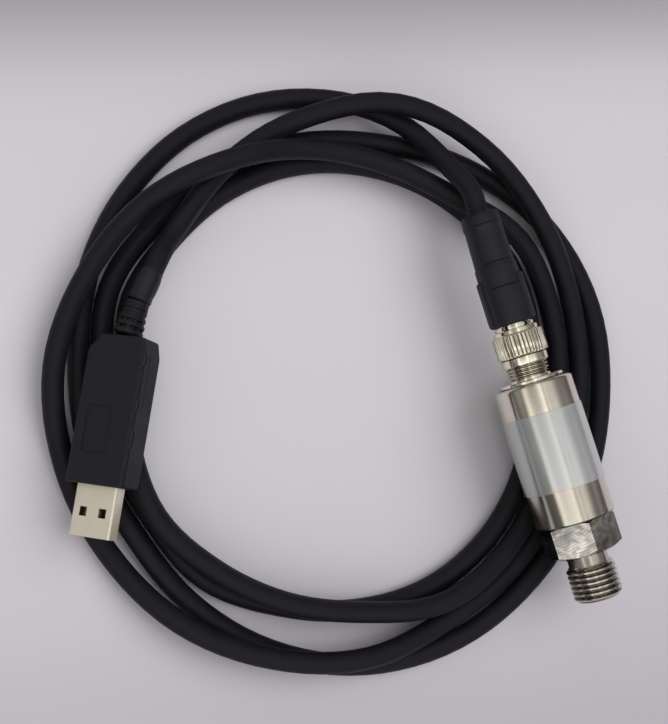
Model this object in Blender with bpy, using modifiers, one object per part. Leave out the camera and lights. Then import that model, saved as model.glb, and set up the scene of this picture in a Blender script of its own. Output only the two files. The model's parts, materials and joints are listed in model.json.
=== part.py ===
"""Stainless steel pressure sensor with its screw-on round connector, cable and USB-A converter plug.

World frame: metres, +Z up. The sensor's axis lies along Y, the process thread towards -Y and the cable
towards +Y. The origin is on that axis, midway between the thread's end and the end of the cable boot.
The sensor lies on its own coiled cable, so the surface that everything stands on is FLOOR.
"""

import math

import bmesh
import bpy
from mathutils import Euler, Matrix, Vector

# Gaps between pieces that seat in each other
FIT = 0.0003
SEAM = 0.0002

# Process fitting: thread M14 x 1.5, undercut neck, hexagon, spigot that carries the housing
THREAD_RADIUS = 0.00695
THREAD_LENGTH = 0.0098
THREAD_CHAMFER = 0.0009
NECK_RADIUS = 0.0057
NECK_LENGTH = 0.0033
HEX_FLATS = 0.019
HEX_HEIGHT = 0.0092
HEX_CHAMFER = 0.0011
HEX_CHAMFER_SLOPE = math.tan(math.radians(30))
HEX_TURN = math.radians(-5.8)
SPIGOT_LENGTH = 0.0055
PORT_RADIUS = 0.0018
CELL_POCKET_DEPTH = 0.0040

# Measuring cell and the header above it
CELL_RADIUS = 0.0062
CELL_HEIGHT = 0.0030
CELL_RECESS_RADIUS = 0.0035
CELL_RECESS_DEPTH = 0.0012
HEADER_FLANGE_HEIGHT = 0.0030
BOARD_SLOT_DEPTH = 0.0014

# Housing tube with its identification label
BODY_RADIUS = 0.0113
BODY_WALL = 0.0011
BODY_LENGTH = 0.0405
BODY_EDGE = 0.0011
BODY_END_WALL = 0.0024
LABEL_LENGTH = 0.0218
LABEL_FROM_TOP = 0.0086
LABEL_GAP = 0.0001
LABEL_THICKNESS = 0.0001

# Circuit board inside the housing
BOARD_WIDTH = 0.0080
BOARD_THICKNESS = 0.0012
CHIP_SIZE = 0.0050
CHIP_HEIGHT = 0.0012
CHIP_FROM_HEADER = 0.0090

# Round connector on the sensor: flange, collar and M12 x 1 sleeve
FLANGE_RADIUS = 0.00925
FLANGE_THICKNESS = 0.0011
GROOVE_RADIUS = 0.0054
GROOVE_WIDTH = 0.0004
SLEEVE_RADIUS = 0.0060
SLEEVE_COLLAR = 0.0010
SLEEVE_BORE = 0.0044
SKIRT_RADIUS = 0.0070
SKIRT_LENGTH = 0.0042
INSERT_RADIUS = 0.0047
INSERT_SHOULDER = 0.0023
INSERT_NOSE = 0.0013
SEAL_WIRE = 0.0005

# Contacts of the round connector
CONTACT_COUNT = 4
CONTACT_CIRCLE = 0.0024
CONTACT_FIRST = math.radians(45)
PIN_RADIUS = 0.00045
PIN_STANDOUT = 0.0062
PIN_ROOT = 0.0045
CONTACT_WALL = 0.0003

# Cable half of the round connector
THREAD_SHOWN = 0.0029
NUT_FRONT_RADIUS = 0.0067
NUT_FRONT_LENGTH = 0.0026
KNURL_RADIUS = 0.0074
KNURL_LENGTH = 0.0065
KNURL_COUNT = 40
KNURL_DEPTH = 0.00045
NUT_BACK_RADIUS = 0.0065
NUT_BACK_LENGTH = 0.0013
NUT_WALL = 0.0024
NUT_BACK_BORE = 0.0053
NUT_EDGE = 0.0003
CARRIER_FLANGE = 0.0007
CARRIER_STEM_RADIUS = 0.0035
PLUG_SEAL_WIRE = 0.0005
COLLAR_RADIUS = 0.0057
COLLAR_LENGTH = 0.0010
COLLAR_SPIGOT = 0.0030
COLLAR_SLOTS = 8
COLLAR_SLOT_WIDTH = 0.0009
COLLAR_SLOT_DEPTH = 0.0007
BOOT_LENGTH = 0.0326
BOOT_GRIP_RADIUS = 0.0061
BOOT_GRIP_LENGTH = 0.0171
BOOT_REAR_RADIUS = 0.0058
BOOT_WAIST_RADIUS = 0.0055
BOOT_TAIL_RADIUS = 0.0057
BOOT_TAIL_LENGTH = 0.0040
BOOT_END_RADIUS = 0.0054
BOOT_EDGE = 0.0012
BOOT_GROOVE_DEPTH = 0.0003
BOOT_GROOVE_WIDTH = 0.0006
BOOT_GROOVES = (0.0110, 0.0182, 0.0293)
WING_RADIUS = 0.0068
WING_LENGTH = 0.0138
WING_THICKNESS = 0.0067
WING_TURN = math.radians(-23.5)

# Cable and what it lies on
CORD_RADIUS = 0.0030
FLOOR = -0.0177

# USB-A plug with a snap housing; its frame stands at the middle of the housing's front face
USB_PLACE = (-0.1217, 0.01436, -0.0029)
USB_HEADING = math.radians(-26)
USB_ROLL = math.radians(-32)
USB_LENGTH = 0.0394
USB_WIDTH = 0.0166
USB_HEIGHT = 0.0096
USB_WALL = 0.0012
USB_REAR_CUT_LEFT = (0.0035, 0.0042)
USB_REAR_CUT_RIGHT = (0.0012, 0.0045)
USB_EDGE = 0.0009
PARTING_FROM_TOP = 0.0028
PARTING_STEP = 0.0008
PARTING_STEPS = ((0.006, 0.013), (0.019, 0.026), (0.032, 0.036))
PANEL_LENGTH = 0.0135
PANEL_WIDTH = 0.0072
PANEL_FROM_FRONT = 0.0105
PANEL_DEPTH = 0.0003
SHELL_WIDTH = 0.0120
SHELL_HEIGHT = 0.0045
SHELL_WALL = 0.0003
SHELL_SHOWN = 0.0134
SHELL_INSIDE = 0.0030
SHELL_CORNER = 0.0006
LATCH_HOLE = (0.0020, 0.0024)
LATCH_SPACING = 0.0056
LATCH_FROM_TIP = 0.0072
TONGUE_HEIGHT = 0.0016
TONGUE_SETBACK = 0.0006
STRIP_COUNT = 4
STRIP_SPACING = 0.0022
STRIP_SIZE = (0.0010, 0.0085, 0.0003)
USB_BOARD_WIDTH = 0.0120
USB_BOARD_LENGTH = 0.0290
USB_BOARD_THICKNESS = 0.0010
LEDGE_LENGTH = 0.0220
USB_CHIP_SIZE = 0.0060
USB_CHIP_HEIGHT = 0.0010

# Strain relief and heat-shrink sleeve behind the USB plug
RELIEF_HEADING = math.radians(-34.7)
RELIEF_START = (-0.10435, 0.05045, -0.0029)
RELIEF_LENGTH = 0.0093
RELIEF_ROOT_RADIUS = 0.0042
RELIEF_TIP_RADIUS = 0.0034
RELIEF_SLOTS = 4
RELIEF_SLOT_WIDTH = 0.0009
RELIEF_RIB = 0.0010
RELIEF_WEB = 0.0011
SHRINK_HEADING = math.radians(-40.4)
SHRINK_START = (-0.09890, 0.05832, -0.0029)
SHRINK_LENGTH = 0.0091
SHRINK_RADIUS = 0.0036

# The cable's route, chosen by hand: for each turn the radius of its centre line about CORD_CENTRE and its
# height above the floor, at every CORD_STEP of angle from CORD_FIRST on
CORD_CENTRE = Vector((-0.0532, 0.0228))
CORD_STEP = math.radians(20)
CORD_FIRST = math.radians(40)
CORD_LEAD = ((0, 0.0590, 0), (-0.0002, 0.0625, -0.0001))
CORD_TURNS = (
    ((0.0682, 0.0172), (0.0806, 0.0064), (0.0838, 0.0030), (0.0820, 0.0030), (0.0778, 0.0030),
     (0.0733, 0.0030), (0.0694, 0.0030), (0.0686, 0.0030), (0.0678, 0.0030), (0.0712, 0.0030),
     (0.0751, 0.0030), (0.0786, 0.0030), (0.0808, 0.0030), (0.0816, 0.0030), (0.0825, 0.0030),
     (0.0834, 0.0030), (0.0848, 0.0030), (0.0830, 0.0030)),
    ((0.0781, 0.0030), (0.0732, 0.0030), (0.0706, 0.0030), (0.0686, 0.0030), (0.0666, 0.0030),
     (0.0666, 0.0030), (0.0630, 0.0030), (0.0622, 0.0030), (0.0614, 0.0030), (0.0638, 0.0030),
     (0.0628, 0.0030), (0.0634, 0.0030), (0.0642, 0.0030), (0.0640, 0.0030), (0.0630, 0.0030),
     (0.0615, 0.0030), (0.0644, 0.0030), (0.0668, 0.0030)),
    ((0.0666, 0.0030), (0.0656, 0.0030), (0.0642, 0.0030), (0.0622, 0.0030), (0.0602, 0.0030),
     (0.0600, 0.0030), (0.0564, 0.0042), (0.0582, 0.0086), (0.0606, 0.0094), (0.0604, 0.0090),
     (0.0614, 0.0094), (0.0635, 0.0094), (0.0686, 0.0094), (0.0696, 0.0066), (0.0696, 0.0030),
     (0.0696, 0.0030), (0.0716, 0.0036), (0.0712, 0.0088)),
    ((0.0658, 0.0095), (0.0655, 0.0094), (0.0664, 0.0116), (0.0672, 0.0166), (0.0711, 0.0118),
     (0.0733, 0.0096), (0.0758, 0.0080), (0.0760, 0.0034), (0.0762, 0.0030), (0.0769, 0.0074),
     (0.0764, 0.0094), (0.0760, 0.0094), (0.0740, 0.0056), (0.0752, 0.0030), (0.0760, 0.0030),
     (0.0764, 0.0030), (0.0782, 0.0046), (0.0797, 0.0097)),
    ((0.0835, 0.0097), (0.0822, 0.0136), (0.0756, 0.0090), (0.0672, 0.0094), (0.0604, 0.0106)),
)

# Stations along the sensor's axis, counted from the thread's end towards the cable
TOTAL_LENGTH = (THREAD_LENGTH + NECK_LENGTH + HEX_HEIGHT + BODY_LENGTH + FLANGE_THICKNESS + GROOVE_WIDTH
                + SLEEVE_COLLAR + THREAD_SHOWN + NUT_FRONT_LENGTH + KNURL_LENGTH + NUT_BACK_LENGTH
                + SEAM + COLLAR_LENGTH + SEAM + BOOT_LENGTH)
THREAD_END = -TOTAL_LENGTH / 2
THREAD_TOP = THREAD_END + THREAD_LENGTH
HEX_BOTTOM = THREAD_TOP + NECK_LENGTH
HEX_TOP = HEX_BOTTOM + HEX_HEIGHT
SPIGOT_TOP = HEX_TOP + SPIGOT_LENGTH
POCKET_BOTTOM = SPIGOT_TOP - CELL_POCKET_DEPTH
BODY_TOP = HEX_TOP + BODY_LENGTH
FLANGE_TOP = BODY_TOP + FLANGE_THICKNESS
GROOVE_TOP = FLANGE_TOP + GROOVE_WIDTH
COLLAR_TOP = GROOVE_TOP + SLEEVE_COLLAR
NUT_FRONT = COLLAR_TOP + THREAD_SHOWN
KNURL_BOTTOM = NUT_FRONT + NUT_FRONT_LENGTH
KNURL_TOP = KNURL_BOTTOM + KNURL_LENGTH
NUT_BACK = KNURL_TOP + NUT_BACK_LENGTH
COLLAR_FRONT = NUT_BACK + SEAM
COLLAR_BACK = COLLAR_FRONT + COLLAR_LENGTH
BOOT_FRONT = COLLAR_BACK + SEAM
BOOT_END = BOOT_FRONT + BOOT_LENGTH

# Sizes that follow from a seat
BODY_BORE = BODY_RADIUS - BODY_WALL
SPIGOT_RADIUS = BODY_BORE - FIT
POCKET_RADIUS = CELL_RADIUS + FIT
CELL_BOTTOM = POCKET_BOTTOM + FIT
CELL_TOP = CELL_BOTTOM + CELL_HEIGHT
HEADER_BOTTOM = CELL_TOP + FIT
HEADER_TOP = SPIGOT_TOP + FIT + HEADER_FLANGE_HEIGHT
BASE_BORE = INSERT_RADIUS + FIT
INSERT_TOP = GROOVE_TOP + INSERT_SHOULDER
INSERT_NOSE_RADIUS = SLEEVE_BORE - FIT
INSERT_STEP = INSERT_TOP - INSERT_NOSE
INSERT_BOTTOM = BODY_TOP - BODY_END_WALL - SKIRT_LENGTH
BOARD_BOTTOM = HEADER_TOP - BOARD_SLOT_DEPTH + FIT
BOARD_TOP = INSERT_BOTTOM + BOARD_SLOT_DEPTH - FIT
PIN_BORE = PIN_RADIUS + FIT
CONTACT_BORE = PIN_RADIUS + FIT
CONTACT_RADIUS = CONTACT_BORE + CONTACT_WALL
CARRIER_BORE = CONTACT_RADIUS + FIT
CARRIER_RADIUS = SLEEVE_BORE - FIT
CARRIER_FRONT = INSERT_TOP + FIT
NUT_BORE = SLEEVE_RADIUS + FIT
NUT_WALL_FRONT = NUT_BACK - NUT_WALL
FLANGE_BACK = NUT_WALL_FRONT - FIT
FLANGE_FRONT = FLANGE_BACK - CARRIER_FLANGE
SLEEVE_TOP = FLANGE_FRONT - 2 * (PLUG_SEAL_WIRE + FIT)
COLLAR_NECK_RADIUS = NUT_BACK_BORE - FIT
COLLAR_BORE = CARRIER_STEM_RADIUS + FIT
CORD_END_GAP = 0.0003
USB_BOARD_MIDDLE = SHELL_INSIDE + FIT + USB_BOARD_LENGTH / 2

# Facets of the round pieces
ROUND_STEPS = 40
MIDDLE_STEPS = 24
SMALL_STEPS = 12
ARC_STEPS = 3
SEAL_SIDES = 6

# Colour, roughness and metallic value of each material
FINISHES = {
    "brushed_steel": ((0.60, 0.59, 0.57), 0.30, 1.0),
    "machined_steel": ((0.56, 0.55, 0.52), 0.24, 1.0),
    "label_film": ((0.72, 0.72, 0.73), 0.32, 0.6),
    "ceramic": ((0.85, 0.84, 0.80), 0.45, 0.0),
    "header_steel": ((0.50, 0.49, 0.46), 0.35, 1.0),
    "board_green": ((0.03, 0.16, 0.08), 0.45, 0.0),
    "chip_black": ((0.02, 0.02, 0.022), 0.50, 0.0),
    "nickel": ((0.55, 0.50, 0.43), 0.28, 1.0),
    "insert_black": ((0.03, 0.03, 0.032), 0.55, 0.0),
    "gold": ((0.80, 0.58, 0.25), 0.25, 1.0),
    "seal_rubber": ((0.02, 0.02, 0.02), 0.70, 0.0),
    "boot_black": ((0.035, 0.035, 0.037), 0.62, 0.0),
    "cable_black": ((0.045, 0.044, 0.048), 0.60, 0.0),
    "housing_grey": ((0.055, 0.055, 0.060), 0.55, 0.0),
    "usb_shell": ((0.78, 0.74, 0.66), 0.28, 1.0),
    "tongue_white": ((0.80, 0.80, 0.78), 0.50, 0.0),
}


def clear_scene():
    for item in list(bpy.data.objects):
        bpy.data.objects.remove(item, do_unlink=True)


def collection(name):
    made = bpy.data.collections.new(name)
    bpy.context.scene.collection.children.link(made)
    return made


def finish(name):
    """The named material, made on first use."""
    found = bpy.data.materials.get(name)
    if found:
        return found
    colour, roughness, metallic = FINISHES[name]
    made = bpy.data.materials.new(name)
    made.use_nodes = True
    shader = made.node_tree.nodes["Principled BSDF"]
    shader.inputs["Base Color"].default_value = (*colour, 1)
    shader.inputs["Roughness"].default_value = roughness
    shader.inputs["Metallic"].default_value = metallic
    made.diffuse_color = (*colour, 1)
    return made


def empty(name, location, rotation):
    made = bpy.data.objects.new(name, None)
    made.location = location
    made.rotation_euler = rotation
    PARTS.objects.link(made)
    return made


def place(item, parent, location=(0, 0, 0), rotation=(0, 0, 0), group=None):
    item.parent = parent
    item.location = location
    item.rotation_euler = rotation
    (group or PARTS).objects.link(item)
    return item


def as_cutter(item):
    """Moves an object to the cutters, which shape other pieces and are not parts themselves."""
    PARTS.objects.unlink(item)
    CUTTERS.objects.link(item)
    item.hide_render = True
    item.display_type = "WIRE"
    return item


def rounded(points):
    """Turns each corner that carries a third value into an arc of that radius."""
    out = []
    for i, point in enumerate(points):
        corner = Vector(point[:2])
        if len(point) < 3:
            out.append(corner)
            continue
        before = (Vector(points[i - 1][:2]) - corner).normalized()
        after = (Vector(points[(i + 1) % len(points)][:2]) - corner).normalized()
        half = before.angle(after) / 2
        centre = corner + (before + after).normalized() * point[2] / math.sin(half)
        reach = point[2] / math.tan(half)
        first = corner + before * reach - centre
        last = corner + after * reach - centre
        for k in range(ARC_STEPS + 1):
            out.append(centre + first.lerp(last, k / ARC_STEPS).normalized() * point[2])
    return out


def turned(name, outline, look, parent, steps=ROUND_STEPS, closed=False, location=(0, 0, 0)):
    """A turned piece. The outline lists (radius, station) from its top down its outer side; an open one
    starts and ends on the axis, and a closed one is the section of a ring."""
    points = rounded(outline)
    mesh = bpy.data.meshes.new(name)
    edges = [(i, i + 1) for i in range(len(points) - 1)]
    if closed:
        edges.append((len(points) - 1, 0))
    mesh.from_pydata([(p.x, 0, p.y) for p in points], edges, [])
    mesh.materials.append(finish(look))
    item = bpy.data.objects.new(name, mesh)
    screw = item.modifiers.new("turn", "SCREW")
    screw.steps = steps
    screw.render_steps = steps
    screw.use_merge_vertices = True
    screw.merge_threshold = 0.00001
    screw.use_smooth_shade = True
    return place(item, parent, location)


def from_bmesh(name, bm, look, parent, location=(0, 0, 0), rotation=(0, 0, 0)):
    mesh = bpy.data.meshes.new(name)
    bm.to_mesh(mesh)
    bm.free()
    mesh.materials.append(finish(look))
    return place(bpy.data.objects.new(name, mesh), parent, location, rotation)


def box(name, size, look, parent, location=(0, 0, 0), rotation=(0, 0, 0)):
    bm = bmesh.new()
    bmesh.ops.create_cube(bm, size=1, matrix=Matrix.Diagonal((*size, 1)))
    return from_bmesh(name, bm, look, parent, location, rotation)


def rod(name, radius, length, look, parent, location=(0, 0, 0), rotation=(0, 0, 0), sides=SMALL_STEPS):
    bm = bmesh.new()
    bmesh.ops.create_cone(bm, cap_ends=True, segments=sides, radius1=radius, radius2=radius, depth=length)
    return from_bmesh(name, bm, look, parent, location, rotation)


def torus(name, ring, wire, look, parent, location):
    """A ring of round section, turned from a closed circle."""
    circle = [(ring + wire * math.cos(a), wire * math.sin(a))
              for a in (-2 * math.pi * k / SEAL_SIDES for k in range(SEAL_SIDES))]
    return turned(name, circle, look, parent, MIDDLE_STEPS, closed=True, location=location)


def prism(name, outline, depth, look, parent, location=(0, 0, 0), rotation=(0, 0, 0)):
    """A flat outline extruded by depth, half to each side of its plane."""
    curve = bpy.data.curves.new(name, "CURVE")
    curve.dimensions = "2D"
    curve.fill_mode = "BOTH"
    curve.extrude = depth / 2
    spline = curve.splines.new("POLY")
    spline.points.add(len(outline) - 1)
    for point, (x, y) in zip(spline.points, outline):
        point.co = (x, y, 0, 1)
    spline.use_cyclic_u = True
    drawn = bpy.data.objects.new(name, curve)
    PARTS.objects.link(drawn)
    graph = bpy.context.evaluated_depsgraph_get()
    mesh = bpy.data.meshes.new_from_object(drawn.evaluated_get(graph))
    bpy.data.objects.remove(drawn)
    bm = bmesh.new()
    bm.from_mesh(mesh)
    bpy.data.meshes.remove(mesh)
    bmesh.ops.remove_doubles(bm, verts=bm.verts, dist=0.000001)
    bmesh.ops.dissolve_limit(bm, angle_limit=math.radians(1), verts=bm.verts, edges=bm.edges)
    bmesh.ops.recalc_face_normals(bm, faces=bm.faces)
    return from_bmesh(name, bm, look, parent, location, rotation)


def boolean(item, other, operation="DIFFERENCE"):
    modifier = item.modifiers.new(operation.lower(), "BOOLEAN")
    modifier.operation = operation
    modifier.solver = "EXACT"
    modifier.object = other
    return item


def bevelled(item, width, segments=2):
    modifier = item.modifiers.new("edges", "BEVEL")
    modifier.width = width
    modifier.segments = segments
    modifier.limit_method = "ANGLE"
    return item


def contact_places():
    """Centres of the round connector's contacts in the plane across its axis."""
    for k in range(CONTACT_COUNT):
        angle = CONTACT_FIRST + 2 * math.pi * k / CONTACT_COUNT
        yield CONTACT_CIRCLE * math.cos(angle), CONTACT_CIRCLE * math.sin(angle)


def bores(name, radius, bottom, top, parent):
    """One cutter with a rod for each contact."""
    bm = bmesh.new()
    for x, y in contact_places():
        bmesh.ops.create_cone(bm, cap_ends=True, segments=SMALL_STEPS, radius1=radius, radius2=radius,
                              depth=top - bottom, matrix=Matrix.Translation((x, y, (top + bottom) / 2)))
    return as_cutter(from_bmesh(name, bm, "insert_black", parent))


def process_fitting(axis):
    """Threaded port, undercut, hexagon and the spigot with the cell's pocket."""
    root = HEX_FLATS / 2 - FIT
    middle = HEX_TOP - HEX_HEIGHT / 2
    fitting = turned("process_fitting", [
        (0, SPIGOT_TOP), (SPIGOT_RADIUS, SPIGOT_TOP), (SPIGOT_RADIUS, HEX_TOP + FIT), (root, HEX_TOP + FIT),
        (root, middle), (NECK_RADIUS, middle), (NECK_RADIUS, THREAD_TOP),
        (THREAD_RADIUS - THREAD_CHAMFER, THREAD_TOP), (THREAD_RADIUS, THREAD_TOP - THREAD_CHAMFER / 2),
        (THREAD_RADIUS, THREAD_END + THREAD_CHAMFER), (THREAD_RADIUS - THREAD_CHAMFER, THREAD_END),
        (0, THREAD_END)], "machined_steel", axis)
    hexagon = rod("hexagon", HEX_FLATS / math.sqrt(3), HEX_HEIGHT + FIT, "machined_steel", axis,
                  (0, 0, HEX_TOP - (HEX_HEIGHT + FIT) / 2), (0, 0, HEX_TURN), sides=6)
    flat_end = HEX_FLATS / 2 - HEX_CHAMFER
    rise = HEX_FLATS * HEX_CHAMFER_SLOPE
    envelope = turned("hexagon_envelope", [
        (0, HEX_TOP + rise), (flat_end + HEX_FLATS, HEX_TOP + rise), (flat_end + HEX_FLATS, HEX_BOTTOM + rise),
        (flat_end, HEX_BOTTOM), (0, HEX_BOTTOM)], "machined_steel", axis)
    boolean(as_cutter(hexagon), as_cutter(envelope), "INTERSECT")
    boolean(fitting, hexagon, "UNION")
    port = turned("port_bore", [
        (0, SPIGOT_TOP + FIT), (POCKET_RADIUS, SPIGOT_TOP + FIT), (POCKET_RADIUS, POCKET_BOTTOM),
        (PORT_RADIUS, POCKET_BOTTOM), (PORT_RADIUS, THREAD_END - FIT), (0, THREAD_END - FIT)],
        "machined_steel", axis)
    boolean(fitting, as_cutter(port))


def measuring_cell(axis):
    """Ceramic cell with its thinned diaphragm towards the port, and the header that closes the pocket."""
    turned("sensor_diaphragm", [
        (0, CELL_TOP - CELL_RECESS_DEPTH), (CELL_RECESS_RADIUS, CELL_TOP - CELL_RECESS_DEPTH),
        (CELL_RECESS_RADIUS, CELL_TOP), (CELL_RADIUS, CELL_TOP), (CELL_RADIUS, CELL_BOTTOM), (0, CELL_BOTTOM)],
        "ceramic", axis, MIDDLE_STEPS)
    header = turned("sensor_header", [
        (0, HEADER_TOP), (CELL_RADIUS + FIT, HEADER_TOP), (SPIGOT_RADIUS - FIT, HEADER_TOP - FIT * 3),
        (SPIGOT_RADIUS - FIT, SPIGOT_TOP + FIT), (CELL_RADIUS - FIT, SPIGOT_TOP + FIT),
        (CELL_RADIUS - FIT, HEADER_BOTTOM), (0, HEADER_BOTTOM)], "header_steel", axis, MIDDLE_STEPS)
    slot = box("header_slot", (BOARD_WIDTH + 2 * FIT, BOARD_THICKNESS + 2 * FIT, 2 * BOARD_SLOT_DEPTH),
               "header_steel", axis, (0, 0, HEADER_TOP))
    boolean(header, as_cutter(slot))


def housing(axis):
    """Tube with an end wall that the round connector passes through, and the label wrapped round it."""
    hole = SKIRT_RADIUS + FIT
    turned("housing_tube", [
        (BODY_RADIUS, BODY_TOP, BODY_EDGE), (BODY_RADIUS, HEX_TOP + FIT), (BODY_BORE, HEX_TOP + FIT),
        (BODY_BORE, BODY_TOP - BODY_END_WALL), (hole, BODY_TOP - BODY_END_WALL), (hole, BODY_TOP)],
        "brushed_steel", axis, closed=True)
    inner = BODY_RADIUS + LABEL_GAP
    label_top = BODY_TOP - LABEL_FROM_TOP
    turned("identification_label", [
        (inner + LABEL_THICKNESS, label_top), (inner + LABEL_THICKNESS, label_top - LABEL_LENGTH),
        (inner, label_top - LABEL_LENGTH), (inner, label_top)], "label_film", axis, closed=True)


def electronics(axis):
    """Board held between the header's slot and the connector insert's slot, with its amplifier chip."""
    box("circuit_board", (BOARD_WIDTH, BOARD_THICKNESS, BOARD_TOP - BOARD_BOTTOM), "board_green", axis,
        (0, 0, (BOARD_TOP + BOARD_BOTTOM) / 2))
    box("amplifier_chip", (CHIP_SIZE, CHIP_HEIGHT, CHIP_SIZE), "chip_black", axis,
        (0, (BOARD_THICKNESS + CHIP_HEIGHT) / 2 + FIT, HEADER_TOP + CHIP_FROM_HEADER))


def connector_base(axis):
    """Flange, sealing groove, M12 sleeve and the skirt that is pressed into the housing's end wall."""
    seal_half = SEAL_WIRE + FIT
    seal_middle = BODY_TOP - BODY_END_WALL / 2
    seal_floor = SKIRT_RADIUS - 2 * SEAL_WIRE - FIT
    skirt_end = BODY_TOP - BODY_END_WALL - SKIRT_LENGTH / 2
    turned("connector_base", [
        (SLEEVE_RADIUS - SLEEVE_COLLAR / 3, SLEEVE_TOP), (SLEEVE_RADIUS, SLEEVE_TOP - SLEEVE_COLLAR / 3),
        (SLEEVE_RADIUS, GROOVE_TOP), (GROOVE_RADIUS, GROOVE_TOP), (GROOVE_RADIUS, FLANGE_TOP),
        (FLANGE_RADIUS, FLANGE_TOP, 0.0002), (FLANGE_RADIUS, BODY_TOP + SEAM), (SKIRT_RADIUS, BODY_TOP + SEAM),
        (SKIRT_RADIUS, seal_middle + seal_half), (seal_floor, seal_middle + seal_half),
        (seal_floor, seal_middle - seal_half), (SKIRT_RADIUS, seal_middle - seal_half),
        (SKIRT_RADIUS, skirt_end), (BASE_BORE, skirt_end), (BASE_BORE, INSERT_STEP + FIT),
        (SLEEVE_BORE, INSERT_STEP + FIT), (SLEEVE_BORE, SLEEVE_TOP)], "nickel", axis, closed=True)
    torus("seal_ring", SKIRT_RADIUS - SEAL_WIRE, SEAL_WIRE, "seal_rubber", axis, (0, 0, seal_middle))


def receptacle(axis):
    """Moulded insert of the sensor's connector and its four pins."""
    insert = turned("receptacle_insert", [
        (0, INSERT_TOP), (INSERT_NOSE_RADIUS, INSERT_TOP), (INSERT_NOSE_RADIUS, INSERT_STEP),
        (INSERT_RADIUS, INSERT_STEP), (INSERT_RADIUS, INSERT_BOTTOM), (0, INSERT_BOTTOM)],
        "insert_black", axis, MIDDLE_STEPS)
    slot = box("insert_slot", (BOARD_WIDTH + 2 * FIT, BOARD_THICKNESS + 2 * FIT, 2 * BOARD_SLOT_DEPTH),
               "insert_black", axis, (0, 0, INSERT_BOTTOM))
    boolean(insert, as_cutter(slot))
    root = INSERT_TOP - PIN_ROOT
    boolean(insert, bores("pin_bores", PIN_BORE, root - FIT, INSERT_TOP + FIT, axis))
    length = PIN_ROOT + PIN_STANDOUT
    for k, (x, y) in enumerate(contact_places(), 1):
        turned(f"receptacle_pin_{k}", [(0, root + length), (PIN_RADIUS, root + length, PIN_RADIUS / 2),
                                       (PIN_RADIUS, root), (0, root)],
               "gold", axis, steps=SMALL_STEPS, location=(x, y, 0))


def cable_contacts(axis):
    """Carrier with its flange, four spring contacts, and the seal in front of the flange."""
    blind = FLANGE_FRONT
    carrier = turned("plug_carrier", [
        (0, COLLAR_BACK), (CARRIER_STEM_RADIUS, COLLAR_BACK), (CARRIER_STEM_RADIUS, FLANGE_BACK),
        (NUT_BORE - 2 * FIT, FLANGE_BACK), (NUT_BORE - 2 * FIT, FLANGE_FRONT),
        (CARRIER_RADIUS, FLANGE_FRONT), (CARRIER_RADIUS, CARRIER_FRONT), (0, CARRIER_FRONT)],
        "insert_black", axis, MIDDLE_STEPS)
    boolean(carrier, bores("contact_bores", CARRIER_BORE, CARRIER_FRONT - FIT, blind, axis))
    front = CARRIER_FRONT + FIT
    back = blind - FIT
    depth = INSERT_TOP + PIN_STANDOUT + FIT
    for k, (x, y) in enumerate(contact_places(), 1):
        turned(f"plug_contact_{k}", [
            (0, back), (CONTACT_RADIUS, back), (CONTACT_RADIUS, front), (CONTACT_BORE, front),
            (CONTACT_BORE, depth), (0, depth)], "gold", axis, steps=SMALL_STEPS, location=(x, y, 0))
    torus("plug_seal", CARRIER_RADIUS + FIT + PLUG_SEAL_WIRE, PLUG_SEAL_WIRE, "seal_rubber", axis,
          (0, 0, (SLEEVE_TOP + FLANGE_FRONT) / 2))


def coupling_nut(axis):
    """Knurled nut with its thread bore and the back wall that pulls on the carrier's flange."""
    pivot = (KNURL_BOTTOM + KNURL_TOP) / 2
    outline = [
        (NUT_BACK_RADIUS, NUT_BACK, NUT_EDGE), (NUT_BACK_RADIUS, KNURL_TOP),
        (KNURL_RADIUS - NUT_EDGE, KNURL_TOP), (KNURL_RADIUS, KNURL_TOP - NUT_EDGE),
        (KNURL_RADIUS, KNURL_BOTTOM + NUT_EDGE), (KNURL_RADIUS - NUT_EDGE, KNURL_BOTTOM),
        (NUT_FRONT_RADIUS, KNURL_BOTTOM), (NUT_FRONT_RADIUS, NUT_FRONT, NUT_EDGE),
        (NUT_BORE, NUT_FRONT), (NUT_BORE, NUT_WALL_FRONT),
        (NUT_BACK_BORE, NUT_WALL_FRONT), (NUT_BACK_BORE, NUT_BACK)]
    nut = turned("coupling_nut", [(p[0], p[1] - pivot, *p[2:]) for p in outline], "nickel", axis,
                 closed=True, location=(0, 0, pivot))
    bm = bmesh.new()
    proud = KNURL_DEPTH / 4
    side = (KNURL_DEPTH + proud) * math.sqrt(2)
    for k in range(KNURL_COUNT):
        turn = Matrix.Rotation(2 * math.pi * k / KNURL_COUNT, 4, "Z")
        move = Matrix.Translation((KNURL_RADIUS + proud, 0, pivot))
        tilt = Matrix.Rotation(math.radians(45), 4, "Z")
        size = Matrix.Diagonal((side, side, KNURL_LENGTH + 2 * FIT, 1))
        bmesh.ops.create_cube(bm, size=1, matrix=turn @ move @ tilt @ size)
    boolean(nut, as_cutter(from_bmesh("knurl", bm, "nickel", axis)))


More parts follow.
